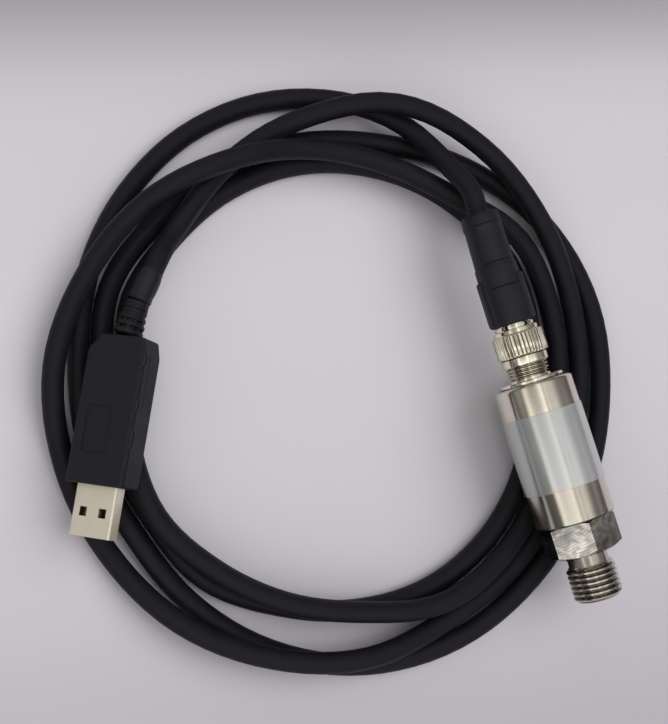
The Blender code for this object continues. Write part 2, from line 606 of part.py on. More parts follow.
def retaining_collar(axis):
    """Slotted metal collar between nut and boot, with a neck through the nut and a spigot in the boot."""
    spigot_end = COLLAR_BACK + COLLAR_SPIGOT
    collar = turned("nut_retaining_collar", [
        (COLLAR_NECK_RADIUS, spigot_end), (COLLAR_NECK_RADIUS, COLLAR_BACK), (COLLAR_RADIUS, COLLAR_BACK),
        (COLLAR_RADIUS, COLLAR_FRONT), (COLLAR_NECK_RADIUS, COLLAR_FRONT),
        (COLLAR_NECK_RADIUS, FLANGE_BACK + FIT), (COLLAR_BORE, FLANGE_BACK + FIT),
        (COLLAR_BORE, spigot_end)], "nickel", axis, closed=True)
    bm = bmesh.new()
    for k in range(COLLAR_SLOTS):
        turn = Matrix.Rotation(2 * math.pi * k / COLLAR_SLOTS, 4, "Z")
        move = Matrix.Translation((COLLAR_RADIUS, 0, (COLLAR_FRONT + COLLAR_BACK) / 2))
        size = Matrix.Diagonal((2 * COLLAR_SLOT_DEPTH, COLLAR_SLOT_WIDTH, COLLAR_LENGTH + 2 * FIT, 1))
        bmesh.ops.create_cube(bm, size=1, matrix=turn @ move @ size)
    boolean(collar, as_cutter(from_bmesh("collar_slots", bm, "nickel", axis)))


def connector_boot(axis):
    """Moulded boot: grip with a wing on each side, tapered rear and thicker tail, all with ring grooves, and a
    blind seat for the collar's spigot."""
    tail = BOOT_LENGTH - BOOT_TAIL_LENGTH
    seat_radius = COLLAR_NECK_RADIUS + FIT
    outline = [(0, COLLAR_SPIGOT), (seat_radius, COLLAR_SPIGOT), (seat_radius, 0),
               (BOOT_GRIP_RADIUS, 0, BOOT_EDGE / 2)]
    for start, end, first, last in ((0, BOOT_GRIP_LENGTH, BOOT_GRIP_RADIUS, BOOT_GRIP_RADIUS),
                                    (BOOT_GRIP_LENGTH, tail, BOOT_REAR_RADIUS, BOOT_WAIST_RADIUS),
                                    (tail, BOOT_LENGTH, BOOT_TAIL_RADIUS, BOOT_END_RADIUS)):
        if start:
            outline.append((first, start))
        for groove in BOOT_GROOVES:
            if start < groove < end:
                radius = first + (last - first) * (groove - start) / (end - start)
                outline += [(radius, groove - BOOT_GROOVE_WIDTH / 2), (radius - BOOT_GROOVE_DEPTH, groove),
                            (radius, groove + BOOT_GROOVE_WIDTH / 2)]
        outline.append((last, end))
    outline.append((0, BOOT_LENGTH))
    boot = turned("connector_boot", [(p[0], BOOT_FRONT + p[1], *p[2:]) for p in reversed(outline)],
                  "boot_black", axis)
    root = (seat_radius + BOOT_GRIP_RADIUS) / 2
    wings = turned("boot_wings", [
        (WING_RADIUS, BOOT_FRONT + WING_LENGTH, BOOT_EDGE / 3), (WING_RADIUS, BOOT_FRONT + FIT, BOOT_EDGE),
        (root, BOOT_FRONT + FIT), (root, BOOT_FRONT + WING_LENGTH)], "boot_black", axis, closed=True)
    slab = box("wing_slab", (4 * WING_RADIUS, WING_THICKNESS, 2 * WING_LENGTH), "boot_black", axis,
               (0, 0, BOOT_FRONT + WING_LENGTH / 2), (0, 0, WING_TURN))
    boolean(as_cutter(wings), as_cutter(slab), "INTERSECT")
    boolean(boot, wings, "UNION")


def route_point(position):
    """Point of the cable's smooth route, position counted in stations from the first one."""
    pairs = [pair for turn in CORD_TURNS for pair in turn]
    index = min(int(position), len(pairs) - 2)
    t = position - index
    ends = [pairs[min(max(index + k, 0), len(pairs) - 1)] for k in (-1, 0, 1, 2)]
    radius, height = (
        (2 * b + (c - a) * t + (2 * a - 5 * b + 4 * c - d) * t ** 2 + (3 * b - a - 3 * c + d) * t ** 3) / 2
        for a, b, c, d in zip(*ends))
    angle = CORD_FIRST + CORD_STEP * position
    return Vector((CORD_CENTRE.x + radius * math.cos(angle), CORD_CENTRE.y + radius * math.sin(angle),
                   FLOOR + height))


def along(start, heading, distance):
    """Point at a distance from start, level, with the heading counted from +Y."""
    return Vector(start) + Vector((-math.sin(heading), math.cos(heading), 0)) * distance


def cord():
    """The cable: out of the boot, round its coil and into the sleeve behind the USB plug."""
    stations = sum(len(turn) for turn in CORD_TURNS)
    points = [Vector((0, BOOT_END + CORD_END_GAP, 0))]
    points += [Vector(p) for p in CORD_LEAD]
    points += [route_point(k) for k in range(stations)]
    points += [along(SHRINK_START, SHRINK_HEADING, SHRINK_LENGTH + 0.001), Vector(SHRINK_START)]
    curve = bpy.data.curves.new("cord", "CURVE")
    curve.dimensions = "3D"
    curve.bevel_depth = CORD_RADIUS
    curve.bevel_resolution = 2
    curve.use_fill_caps = True
    spline = curve.splines.new("POLY")
    spline.points.add(len(points) - 1)
    for point, co in zip(spline.points, points):
        point.co = (*co, 1)
    curve.materials.append(finish("cable_black"))
    place(bpy.data.objects.new("cord", curve), None)


def strain_relief():
    """Slotted relief and heat-shrink sleeve, each in line with its own stretch of cable."""
    frame = empty("relief_axis", RELIEF_START, Euler((math.radians(-90), 0, RELIEF_HEADING)))
    relief = turned("strain_relief", [
        (0, RELIEF_LENGTH), (RELIEF_TIP_RADIUS, RELIEF_LENGTH, FIT), (RELIEF_ROOT_RADIUS, 0), (0, 0)],
        "boot_black", frame, MIDDLE_STEPS)
    bm = bmesh.new()
    for k in range(RELIEF_SLOTS):
        station = RELIEF_RIB + RELIEF_SLOT_WIDTH / 2 + k * (RELIEF_SLOT_WIDTH + RELIEF_RIB)
        for side in (-1, 1):
            size = Matrix.Diagonal((RELIEF_ROOT_RADIUS, 4 * RELIEF_ROOT_RADIUS, RELIEF_SLOT_WIDTH, 1))
            move = Matrix.Translation((side * (RELIEF_WEB + RELIEF_ROOT_RADIUS / 2), 0, station))
            bmesh.ops.create_cube(bm, size=1, matrix=move @ size)
    boolean(relief, as_cutter(from_bmesh("relief_slots", bm, "boot_black", frame)))
    sleeve = empty("sleeve_axis", SHRINK_START, Euler((math.radians(-90), 0, SHRINK_HEADING)))
    bore = CORD_RADIUS + SEAM
    turned("heat_shrink_sleeve", [
        (SHRINK_RADIUS, SHRINK_LENGTH), (SHRINK_RADIUS, FIT), (bore, FIT), (bore, SHRINK_LENGTH)],
        "cable_black", sleeve, MIDDLE_STEPS, closed=True)


def housing_outline(inset):
    """Top view of the USB housing, inset from its outer size, with its rear corners cut."""
    half = USB_WIDTH / 2 - inset
    rear = USB_LENGTH - inset
    left_x, left_y = USB_REAR_CUT_LEFT
    right_x, right_y = USB_REAR_CUT_RIGHT
    return [(-half, inset), (half, inset), (half, rear - right_y), (half - right_x, rear),
            (-half + left_x, rear), (-half, rear - left_y)]


def parting_block(name, lift, parent):
    """Everything of the USB housing below its stepped parting line, as a cutter."""
    deep = -USB_HEIGHT
    line = [(-USB_LENGTH, lift)]
    for start, end in PARTING_STEPS:
        line += [(start, lift), (start, lift + PARTING_STEP), (end, lift + PARTING_STEP), (end, lift)]
    line += [(2 * USB_LENGTH, lift), (2 * USB_LENGTH, deep), (-USB_LENGTH, deep)]
    return as_cutter(prism(name, line, 2 * USB_WIDTH, "housing_grey", parent,
                           rotation=(math.radians(90), 0, math.radians(90))))


def usb_housing(frame):
    """Two snap shells, split along a stepped line, round the plug's board."""
    wall = USB_WALL
    parting = USB_HEIGHT / 2 - PARTING_FROM_TOP
    for name, operation, lift in (("usb_housing_lower", "INTERSECT", parting - SEAM / 2),
                                  ("usb_housing_upper", "DIFFERENCE", parting + SEAM / 2)):
        shell = prism(name, housing_outline(0), USB_HEIGHT, "housing_grey", frame)
        bevelled(shell, USB_EDGE)
        hollow = prism(name + "_hollow", housing_outline(wall), USB_HEIGHT - 2 * wall, "housing_grey", frame)
        boolean(shell, as_cutter(hollow))
        mouth = box(name + "_mouth", (SHELL_WIDTH + 2 * FIT, 4 * wall, SHELL_HEIGHT + 2 * FIT), "housing_grey",
                    frame)
        boolean(shell, as_cutter(mouth))
        boolean(shell, parting_block(name + "_parting", lift, frame), operation)
        if name == "usb_housing_upper":
            panel = box("panel_recess", (PANEL_WIDTH, PANEL_LENGTH, 2 * PANEL_DEPTH), "housing_grey", frame,
                        (0, PANEL_FROM_FRONT + PANEL_LENGTH / 2, USB_HEIGHT / 2))
            boolean(shell, as_cutter(panel))
            continue
        ledge_top = -USB_BOARD_THICKNESS * 3 / 2 - FIT
        ledge_root = -(USB_HEIGHT - wall) / 2
        for side in (-1, 1):
            ledge = box(f"ledge_{side}", (wall, LEDGE_LENGTH, ledge_top - ledge_root), "housing_grey", frame,
                        (side * (USB_BOARD_WIDTH / 2 - wall), USB_BOARD_MIDDLE, (ledge_top + ledge_root) / 2))
            boolean(shell, as_cutter(ledge), "UNION")


def usb_inside(frame):
    """Board on the lower shell's ledges, and the converter chip on it."""
    box("usb_circuit_board", (USB_BOARD_WIDTH, USB_BOARD_LENGTH, USB_BOARD_THICKNESS), "board_green", frame,
        (0, USB_BOARD_MIDDLE, -USB_BOARD_THICKNESS))
    box("usb_converter_chip", (USB_CHIP_SIZE, USB_CHIP_SIZE, USB_CHIP_HEIGHT), "chip_black", frame,
        (0, USB_BOARD_MIDDLE, -USB_BOARD_THICKNESS / 2 + FIT + USB_CHIP_HEIGHT / 2))


def usb_plug(frame):
    """Sheet-metal shell with its latch holes, the tongue in it and the four contact strips."""
    length = SHELL_SHOWN + SHELL_INSIDE
    middle = (SHELL_INSIDE - SHELL_SHOWN) / 2
    upright = (math.radians(90), 0, 0)

    def section(width, height, corner):
        half_x = width / 2
        half_y = height / 2
        corners = [(-half_x, -half_y, corner), (half_x, -half_y, corner), (half_x, half_y, corner),
                   (-half_x, half_y, corner)]
        return [tuple(p) for p in rounded(corners)]

    shell = prism("usb_shell", section(SHELL_WIDTH, SHELL_HEIGHT, SHELL_CORNER), length, "usb_shell", frame,
                  (0, middle, 0), upright)
    inner_width = SHELL_WIDTH - 2 * SHELL_WALL
    inner_height = SHELL_HEIGHT - 2 * SHELL_WALL
    hollow = prism("usb_shell_hollow", section(inner_width, inner_height, SHELL_CORNER - SHELL_WALL),
                   length + 2 * FIT, "usb_shell", frame, (0, middle, 0), upright)
    boolean(shell, as_cutter(hollow))
    bm = bmesh.new()
    for side in (-1, 1):
        size = Matrix.Diagonal((*LATCH_HOLE, 2 * SHELL_HEIGHT, 1))
        move = Matrix.Translation((side * LATCH_SPACING / 2, LATCH_FROM_TIP - SHELL_SHOWN, 0))
        bmesh.ops.create_cube(bm, size=1, matrix=move @ size)
    boolean(shell, as_cutter(from_bmesh("latch_holes", bm, "usb_shell", frame)))
    tongue_bottom = -inner_height / 2 + FIT
    tongue_top = tongue_bottom + TONGUE_HEIGHT
    tongue_length = length - TONGUE_SETBACK
    tongue = box("usb_tongue", (inner_width - 2 * FIT, tongue_length, TONGUE_HEIGHT), "tongue_white", frame,
                 (0, middle + TONGUE_SETBACK / 2, tongue_bottom + TONGUE_HEIGHT / 2))
    width, strip_length, thickness = STRIP_SIZE
    strip_middle = TONGUE_SETBACK * 3 - SHELL_SHOWN + strip_length / 2
    for k in range(STRIP_COUNT):
        x = (k - (STRIP_COUNT - 1) / 2) * STRIP_SPACING
        groove = box(f"strip_groove_{k + 1}", (width + 2 * FIT, strip_length + 2 * FIT, 2 * thickness),
                     "tongue_white", frame, (x, strip_middle, tongue_top))
        boolean(tongue, as_cutter(groove))
        box(f"usb_contact_{k + 1}", STRIP_SIZE, "gold", frame,
            (x, strip_middle, tongue_top - thickness + FIT + thickness / 2))


clear_scene()
PARTS = collection("pressure_sensor")
CUTTERS = collection("cutters")

SENSOR_AXIS = empty("sensor_axis", (0, 0, 0), (math.radians(-90), 0, 0))
process_fitting(SENSOR_AXIS)
measuring_cell(SENSOR_AXIS)
housing(SENSOR_AXIS)
electronics(SENSOR_AXIS)
connector_base(SENSOR_AXIS)
receptacle(SENSOR_AXIS)
cable_contacts(SENSOR_AXIS)
coupling_nut(SENSOR_AXIS)
retaining_collar(SENSOR_AXIS)
connector_boot(SENSOR_AXIS)
cord()
strain_relief()

USB_FRAME = empty("usb_frame", USB_PLACE, (Matrix.Rotation(USB_HEADING, 3, "Z")
                                           @ Matrix.Rotation(USB_ROLL, 3, "Y")).to_euler())
usb_plug(USB_FRAME)
usb_inside(USB_FRAME)
usb_housing(USB_FRAME)
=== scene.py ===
import json
import math

import bmesh
import bpy
from mathutils import Matrix, Vector


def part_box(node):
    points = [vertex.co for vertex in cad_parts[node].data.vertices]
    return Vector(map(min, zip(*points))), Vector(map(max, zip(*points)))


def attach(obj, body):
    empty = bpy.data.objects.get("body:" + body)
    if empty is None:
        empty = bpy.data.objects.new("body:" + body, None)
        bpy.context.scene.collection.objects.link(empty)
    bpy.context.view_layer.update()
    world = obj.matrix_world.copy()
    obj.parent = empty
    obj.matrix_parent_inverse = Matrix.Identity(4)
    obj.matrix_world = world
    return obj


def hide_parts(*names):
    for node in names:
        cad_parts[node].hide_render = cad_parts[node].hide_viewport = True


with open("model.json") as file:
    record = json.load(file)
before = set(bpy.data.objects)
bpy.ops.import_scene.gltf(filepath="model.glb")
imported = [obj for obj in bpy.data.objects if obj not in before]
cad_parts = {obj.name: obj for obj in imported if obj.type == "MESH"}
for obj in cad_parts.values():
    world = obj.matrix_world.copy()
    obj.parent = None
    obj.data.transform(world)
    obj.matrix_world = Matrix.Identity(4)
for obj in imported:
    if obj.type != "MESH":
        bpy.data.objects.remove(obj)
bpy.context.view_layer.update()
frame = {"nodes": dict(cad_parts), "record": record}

BODY = "root"
NUT = "nut"

# Camera: its place, its directions, and its focal length in pixels of the photograph
PHOTO_HEIGHT = 724
FOCAL_PIXELS = 1150
FILM_HEIGHT = 36
CAMERA_PLACE = Vector((-0.12883, 0.014387, 0.303115))
CAMERA_RIGHT = Vector((0.9301898, -0.29476581, 0.21876942))
CAMERA_UP = Vector((0.27627928, 0.95459, 0.11147957))

# The cable's route, as in the model: for each turn the radius of its centre line about CORD_CENTRE and its
# height above the floor, at every CORD_STEP of angle from CORD_FIRST on
FLOOR = -0.0177
CORD_RADIUS = 0.0030
CORD_EXIT = Vector((0, 0.0566, 0))
CORD_CENTRE = Vector((-0.0532, 0.0228))
CORD_STEP = math.radians(20)
CORD_FIRST = math.radians(40)
CORD_TURNS = (
    ((0.0682, 0.0172), (0.0806, 0.0064), (0.0838, 0.0030), (0.0820, 0.0030), (0.0778, 0.0030),
     (0.0733, 0.0030), (0.0694, 0.0030), (0.0686, 0.0030), (0.0678, 0.0030), (0.0712, 0.0030),
     (0.0751, 0.0030), (0.0786, 0.0030), (0.0808, 0.0030), (0.0816, 0.0030), (0.0825, 0.0030),
     (0.0834, 0.0030), (0.0848, 0.0030), (0.0830, 0.0030)),
    ((0.0781, 0.0030), (0.0732, 0.0030), (0.0706, 0.0030), (0.0686, 0.0030), (0.0666, 0.0030),
     (0.0666, 0.0030), (0.0630, 0.0030), (0.0622, 0.0030), (0.0614, 0.0030), (0.0638, 0.0030),
     (0.0628, 0.0030), (0.0634, 0.0030), (0.0642, 0.0030), (0.0640, 0.0030), (0.0630, 0.0030),
     (0.0615, 0.0030), (0.0644, 0.0030), (0.0668, 0.0030)),
    ((0.0666, 0.0030), (0.0656, 0.0030), (0.0642, 0.0030), (0.0622, 0.0030), (0.0602, 0.0030),
     (0.0600, 0.0030), (0.0564, 0.0042), (0.0582, 0.0086), (0.0606, 0.0094), (0.0604, 0.0090),
     (0.0614, 0.0094), (0.0635, 0.0094), (0.0686, 0.0094), (0.0696, 0.0066), (0.0696, 0.0030),
     (0.0696, 0.0030), (0.0716, 0.0036), (0.0712, 0.0088)),
    ((0.0658, 0.0095), (0.0655, 0.0094), (0.0664, 0.0116), (0.0672, 0.0166), (0.0711, 0.0118),
     (0.0733, 0.0096), (0.0758, 0.0080), (0.0760, 0.0034), (0.0762, 0.0030), (0.0769, 0.0074),
     (0.0764, 0.0094), (0.0760, 0.0094), (0.0740, 0.0056), (0.0752, 0.0030), (0.0760, 0.0030),
     (0.0764, 0.0030), (0.0782, 0.0046), (0.0797, 0.0097)),
    ((0.0835, 0.0097), (0.0822, 0.0136), (0.0756, 0.0090), (0.0672, 0.0094), (0.0604, 0.0106)),
)

# Heat-shrink sleeve and strain relief behind the USB plug, and the plug's own frame at the middle of its
# housing's front face. Each of the relief's rows is where its slots start, their turn as a share of a slot,
# and whether they go down to the cable.
SHRINK_START = Vector((-0.09890, 0.05832, -0.0029))
SHRINK_HEADING = math.radians(-40.4)
SHRINK_LENGTH = 0.0091
SHRINK_RADIUS = 0.0034
RELIEF_START = Vector((-0.10435, 0.05045, -0.0029))
RELIEF_HEADING = math.radians(-34.7)
RELIEF_LENGTH = 0.0093
RELIEF_TAPER = ((0, 0.0042), (0.0014, 0.0041), (0.0040, 0.0038), (0.0062, 0.00345), (0.0080, 0.00325),
                (0.0093, 0.0032))
RELIEF_SLOTS = 8
RELIEF_SLOT_SHARE = 0.76
RELIEF_ROWS = ((0.0014, 0.15, True), (0.0033, 0.65, True), (0.0052, 0.15, False))
RELIEF_DARK = 0.45
USB_FRAME = (Matrix.Translation((-0.1217, 0.01436, -0.0029)) @ Matrix.Rotation(math.radians(-26), 4, "Z")
             @ Matrix.Rotation(math.radians(-32), 4, "Y"))

# Sensor and connector: radii and lengths along the axis. A thread's depth is a share of its pitch, and its
# crest and flank are shares of half a pitch. Its marks are painted shade: how dark it is painted at each
# share of its depth.
FIT = 0.0003
THREAD_DEPTH = 0.61
THREAD_CREST = 0.28
THREAD_FLANK = 0.58
THREAD_RADIUS = 0.00695
THREAD_PITCH = 0.0015
THREAD_LENGTH = 0.0098
THREAD_CHAMFER = 0.0011
# Painted shade of the process thread, darker towards the root of its groove
THREAD_PAINTED_SHADE = ((0, 0.05), (0.35, 0.25), (0.75, 0.78), (1, 0.72))
NECK_RADIUS = 0.0057
NECK_LENGTH = 0.0033
HEX_FLATS = 0.019
HEX_HEIGHT = 0.0092
HEX_TURN = math.radians(-5.8)
HEX_CHAMFER = 0.0011
HEX_CROWN = (0.0012, 0.0022)
HEX_BEVEL = 0.00026
PORT_RADIUS = 0.0018
PORT_SHOWN = 0.004
PORT_CHAMFER = 0.0003
BODY_RADIUS = 0.0113
BODY_EDGE = 0.0011
# Bottom rim of the body: inset, lift and painted shade, darkest at the edge where the gap to the hexagon lies
# in shadow
BODY_FOOT = ((0.00003, 0.0004, 0.6), (0.00012, 0.0002, 0.95), (0.0003, 0, 1.0))
BODY_BORE = 0.0102
MOUTH_RADIUS = 0.0098
MOUTH_LENGTH = 0.0012
LABEL_RADIUS = 0.0115
LABEL_EDGE = 0.00004
FLANGE_RADIUS = 0.00925
FLANGE_THICKNESS = 0.0011
BASE_RADIUS = 0.0070
BASE_SUNK = 0.004
GROOVE_RADIUS = 0.0054
GROOVE_WIDTH = 0.0004
SLEEVE_RADIUS = 0.0060
SLEEVE_PITCH = 0.0010
# Painted shade of the M12 thread: darkest on its flanks, lighter at crest and root
SLEEVE_PAINTED_SHADE = ((0, 0.3), (0.2, 0.68), (0.6, 0.92), (0.9, 0.6), (1, 0.4))
SLEEVE_COLLAR = 0.0004
SLEEVE_BORE = 0.0044
NUT_FRONT_RADIUS = 0.0067
NUT_FRONT_LENGTH = 0.0026
KNURL_RADIUS = 0.0074
KNURL_LENGTH = 0.0065
KNURL_COUNT = 40
FLUTE_DEPTH = 0.00034
FLUTE_HALF = 0.21
FLUTE_STEPS = 12
# Painted shade at the bottom of each flute
FLUTE_PAINTED_SHADE = 0.8
NUT_RIM = 0.00035
NUT_GROOVE_DEPTH = 0.0002
NUT_GROOVE_WIDTH = 0.0003
# Painted shade in the groove between the nut's front and its knurl
NUT_GROOVE_PAINTED_SHADE = 0.9
NUT_BACK_WALL = 0.0022
NUT_BACK_RADIUS = 0.0065
NUT_BORE = 0.0063
NUT_BACK_BORE = 0.0053
COLLAR_RADIUS = 0.0057
COLLAR_NECK = 0.0050
COLLAR_BORE = 0.0038
COLLAR_HEIGHT = 0.001
COLLAR_SLOTS = 6
COLLAR_SLOT_SIZE = (0.0009, 0.003, 0.0040)
COLLAR_TURN = math.radians(14)
BOOT_GRIP_RADIUS = 0.0061
BOOT_GRIP_LENGTH = 0.0171
BOOT_REAR_RADIUS = 0.0058
BOOT_WAIST_RADIUS = 0.0055
BOOT_TAIL_RADIUS = 0.0057
BOOT_TAIL_LENGTH = 0.0040
BOOT_END_RADIUS = 0.0054
BOOT_GROOVES = (0.0110, 0.0182, 0.0293)
BOOT_GROOVE_DEPTH = 0.00028
WING_RADIUS = 0.0068
WING_LENGTH = 0.0138
WING_MIDDLES = (math.radians(66.5), math.radians(-113.5))
WING_HALF = math.radians(29.5)
WING_FLANK = math.radians(3.2)
BOOT_PANEL = (math.radians(-54), math.radians(34))
BOOT_LIP = 0.00055
BOOT_MOUTH_RADIUS = 0.00525
BOOT_MOUTH_DEPTH = 0.0033

# USB plug, in its own frame: X across, Y towards the cable, Z up
USB_LENGTH = 0.0394
USB_WIDTH = 0.0166
USB_HEIGHT = 0.0096
USB_WALL = 0.0012
USB_REAR_CUT_LEFT = (0.0035, 0.0042)
USB_REAR_CUT_RIGHT = (0.0012, 0.0045)
USB_TOP_EDGE = 0.0011
USB_EDGE = 0.0007
PARTING_FROM_TOP = 0.0014
PARTING_GAP = 0.0004
PARTING_STEP = -0.0007
PARTING_STEPS = ((0.0105, 0.0150), (0.0205, 0.0230), (0.0320, 0.0345))
PANEL_SIZE = (0.0075, 0.0124, 0.00036)
PANEL_PLACE = (-0.0015, 0.0143)
SIDE_GROOVE = (0.0004, 0.0170, 0.00016)
SIDE_GROOVE_MIDDLE = 0.0290
SIDE_GROOVE_BELOW = 0.0026
SHELL_WIDTH = 0.0120
SHELL_HEIGHT = 0.0045
SHELL_WALL = 0.0003
SHELL_SHOWN = 0.0134
SHELL_INSIDE = 0.0030
SHELL_CORNER = 0.0006
LATCH_HOLE = (0.0022, 0.0024)
LATCH_SPACING = 0.0057
LATCH_FROM_TIP = 0.0064
SEAM_SIZE = (0.0001, 2 * SHELL_SHOWN, 0.0001)
SEAM_ASIDE = 0.0008

# Floor: its tint, the direction in which its painted light changes, and the level of that painted light at
# places along it
FLOOR_TINT = (0.565, 0.546, 0.591)
FLOOR_WAY = (0.205, 0.979, 0)
FLOOR_REACH = 0.30
FLOOR_PAINTED_LIGHT = ((-0.30, 0.70), (-0.094, 0.77), (-0.060, 0.87), (-0.046, 0.925), (-0.012, 0.99),
               (0.042, 1.035), (0.090, 1.00), (0.1035, 0.925), (0.109, 0.85), (0.115, 0.76),
               (0.125, 0.605), (0.135, 0.52), (0.30, 0.48))

# Light of the room. Each band has an angle in degrees from straight up towards +X, its level where the
# connector end mirrors it, its level where the thread end does, and a tint. The one level turns into the
# other between the Y parts of direction in ROOM_ENDS. ROOM_ALONG is how the light changes with that Y part.
# A colour ramp stops at 1, so it holds half of that change, and the ripple of about 2 makes up for it.
ROOM_LEVEL = 1.7
WARM = (1.0, 0.985, 0.955)
PLAIN = (1.0, 0.995, 0.985)
ROOM_BANDS = ((-92, 0.06, 0.03, PLAIN), (-84, 0.20, 0.07, PLAIN), (-72, 0.34, 0.12, PLAIN),
              (-61, 0.24, 0.12, PLAIN), (-58, 0.60, 1.15, WARM), (-52, 0.95, 1.55, WARM),
              (-46, 0.80, 1.42, WARM), (-41, 0.41, 1.14, WARM), (-30, 0.35, 1.24, WARM),
              (-22, 0.38, 1.30, WARM), (-16, 0.58, 1.28, WARM), (-9, 1.20, 1.62, WARM),
              (-5, 1.62, 1.30, WARM), (0, 0.48, 0.42, WARM), (6, 0.84, 1.25, WARM),
              (13, 0.66, 0.72, PLAIN), (22, 0.66, 1.14, PLAIN), (30, 0.54, 0.86, PLAIN),
              (38, 0.39, 0.49, PLAIN), (44, 0.25, 0.27, PLAIN), (54, 0.23, 0.19, PLAIN),
              (62, 0.20, 0.40, PLAIN), (70, 0.18, 0.30, PLAIN), (80, 0.13, 0.13, PLAIN),
              (92, 0.06, 0.05, PLAIN))
ROOM_ENDS = (-0.03, -0.13)
ROOM_ALONG = ((-1.0, 0.60), (-0.5, 1.0), (-0.34, 0.55), (-0.235, 0.50), (-0.185, 1.35), (-0.12, 1.35),
              (-0.06, 1.0), (0.0, 1.0), (0.5, 0.9), (1.0, 0.60))
ROOM_RIPPLE = (1.6, 2.4)
LAMP_PLACE = (0.75, 0.0, 1.10)
LAMP_LEVEL = 0.47
LAMP_SPREAD = math.radians(50)
BACKDROP = (0.42, 0.41, 0.44)

# Facets
ROUND = 128
BOOT_STEPS = 256
CORD_SIDES = 20
CORD_RINGS_PER_STATION = 6


# Materials

def look(name, colour, roughness, metallic=0.0, **sockets):
    """A new material and its node tree's Principled shader, with plain values on the shader's sockets."""
    material = bpy.data.materials.new(name)
    material.use_nodes = True
    material.diffuse_color = (*colour, 1)
    shader = material.node_tree.nodes["Principled BSDF"]
    shader.inputs["Base Color"].default_value = (*colour, 1)
    shader.inputs["Roughness"].default_value = roughness
    shader.inputs["Metallic"].default_value = metallic
    for socket, value in sockets.items():
        shader.inputs[socket.replace("_", " ")].default_value = value
    return material


def add(material, kind, inputs=None, **settings):
    """A new node, with sockets linked to other nodes' outputs or set to plain values."""
    tree = material.node_tree
    node = tree.nodes.new("ShaderNode" + kind)
    for key, value in settings.items():
        setattr(node, key, value)
    for key, value in (inputs or {}).items():
        if isinstance(value, bpy.types.NodeSocket):
            tree.links.new(value, node.inputs[key])
        else:
            node.inputs[key].default_value = value
    return node


def place_of(material, stretch=(1, 1, 1)):
    """Object coordinates in metres, times a number for each axis."""
    point = add(material, "TexCoord").outputs["Object"]
    return add(material, "Mapping", {"Vector": point, "Scale": stretch}).outputs["Vector"]


def noise(material, scale, detail=2.0, stretch=(1, 1, 1), rough=0.5):
    return add(material, "TexNoise", {"Vector": place_of(material, stretch), "Scale": scale, "Detail": detail,
                                      "Roughness": rough}).outputs["Fac"]


def spread(material, value, low, high, start=0.3, end=0.7):
    """Maps a value from start..end to low..high, and no further."""
    return add(material, "MapRange", {"Value": value, "From Min": start, "From Max": end, "To Min": low,
                                      "To Max": high}).outputs["Result"]


def colours(material, value, *stops):
    """Colour ramp with stops given as (position, (red, green, blue))."""
    ramp = add(material, "ValToRGB", {"Fac": value})
    elements = ramp.color_ramp.elements
    while len(elements) < len(stops):
        elements.new(0.5)
    for element, (position, colour) in zip(elements, stops):
        element.position = position
        element.color = (*colour, 1)
    return ramp.outputs["Color"]


def feed(material, socket, value):
    shader = material.node_tree.nodes["Principled BSDF"]
    material.node_tree.links.new(value, shader.inputs[socket])


def bump(material, height, distance, strength=1.0):
    """Adds a bump of the given depth in metres below any that the shader already has."""
    shader = material.node_tree.nodes["Principled BSDF"]
    inputs = {"Height": height, "Distance": distance, "Strength": strength}
    if shader.inputs["Normal"].is_linked:
        inputs["Normal"] = shader.inputs["Normal"].links[0].from_socket
    feed(material, "Normal", add(material, "Bump", inputs).outputs["Normal"])


def paint_shade_and_tone(material, colour, left=0.1):
    """Painted shade, and on the strain relief's ribs a plain darker tone: lets a colour fade to a part of
    itself where the mesh carries that mark.
    """
    mark = add(material, "Attribute", attribute_name="painted_shade_and_tone").outputs["Fac"]
    share = spread(material, mark, 1.0, left, 0, 1)
    return add(material, "VectorMath", {0: colour, "Scale": share}, operation="SCALE").outputs["Vector"]


def turned_metal(name, colour, dark, roughness, anisotropic, fine=5200, depth=0.0000008):
    """Metal with fine turning or brushing lines round the Y axis, which draw its highlights out along Y."""
    made = look(name, colour, roughness, 1.0, Anisotropic=anisotropic, Anisotropic_Rotation=0.25)
    feed(made, "Tangent", add(made, "Tangent", direction_type="RADIAL", axis="Y").outputs["Tangent"])
    lines = noise(made, 1.0, 3.0, (50, fine, 50), 0.6)
    cloud = noise(made, 260, 5.0)
    # Painted shade where the mesh is marked: thread grooves, knurl flutes, the nut's groove and the body's
    # bottom rim
    feed(made, "Base Color", paint_shade_and_tone(made, colours(made, cloud, (0.3, dark), (0.7, colour))))
    feed(made, "Roughness", spread(made, lines, roughness * 0.85, roughness * 1.2))
    bump(made, lines, depth)
    return made


def grained(name, colour, pale, roughness, grain, depth, metallic=0.0, **sockets):
    """Moulded or extruded surface: fine grain, cloudy colour and a roughness that varies with the cloud."""
    made = look(name, colour, roughness, metallic, **sockets)
    cloud = noise(made, 160, 4.0)
    fine = noise(made, grain, 3.0)
    # Painted shade where the mesh is marked, as in the relief's slots, and the relief ribs' darker tone
    feed(made, "Base Color", paint_shade_and_tone(made, colours(made, cloud, (0.3, colour), (0.75, pale))))
    feed(made, "Roughness", spread(made, cloud, roughness * 0.9, min(1.0, roughness * 1.12)))
    bump(made, fine, depth)
    return made


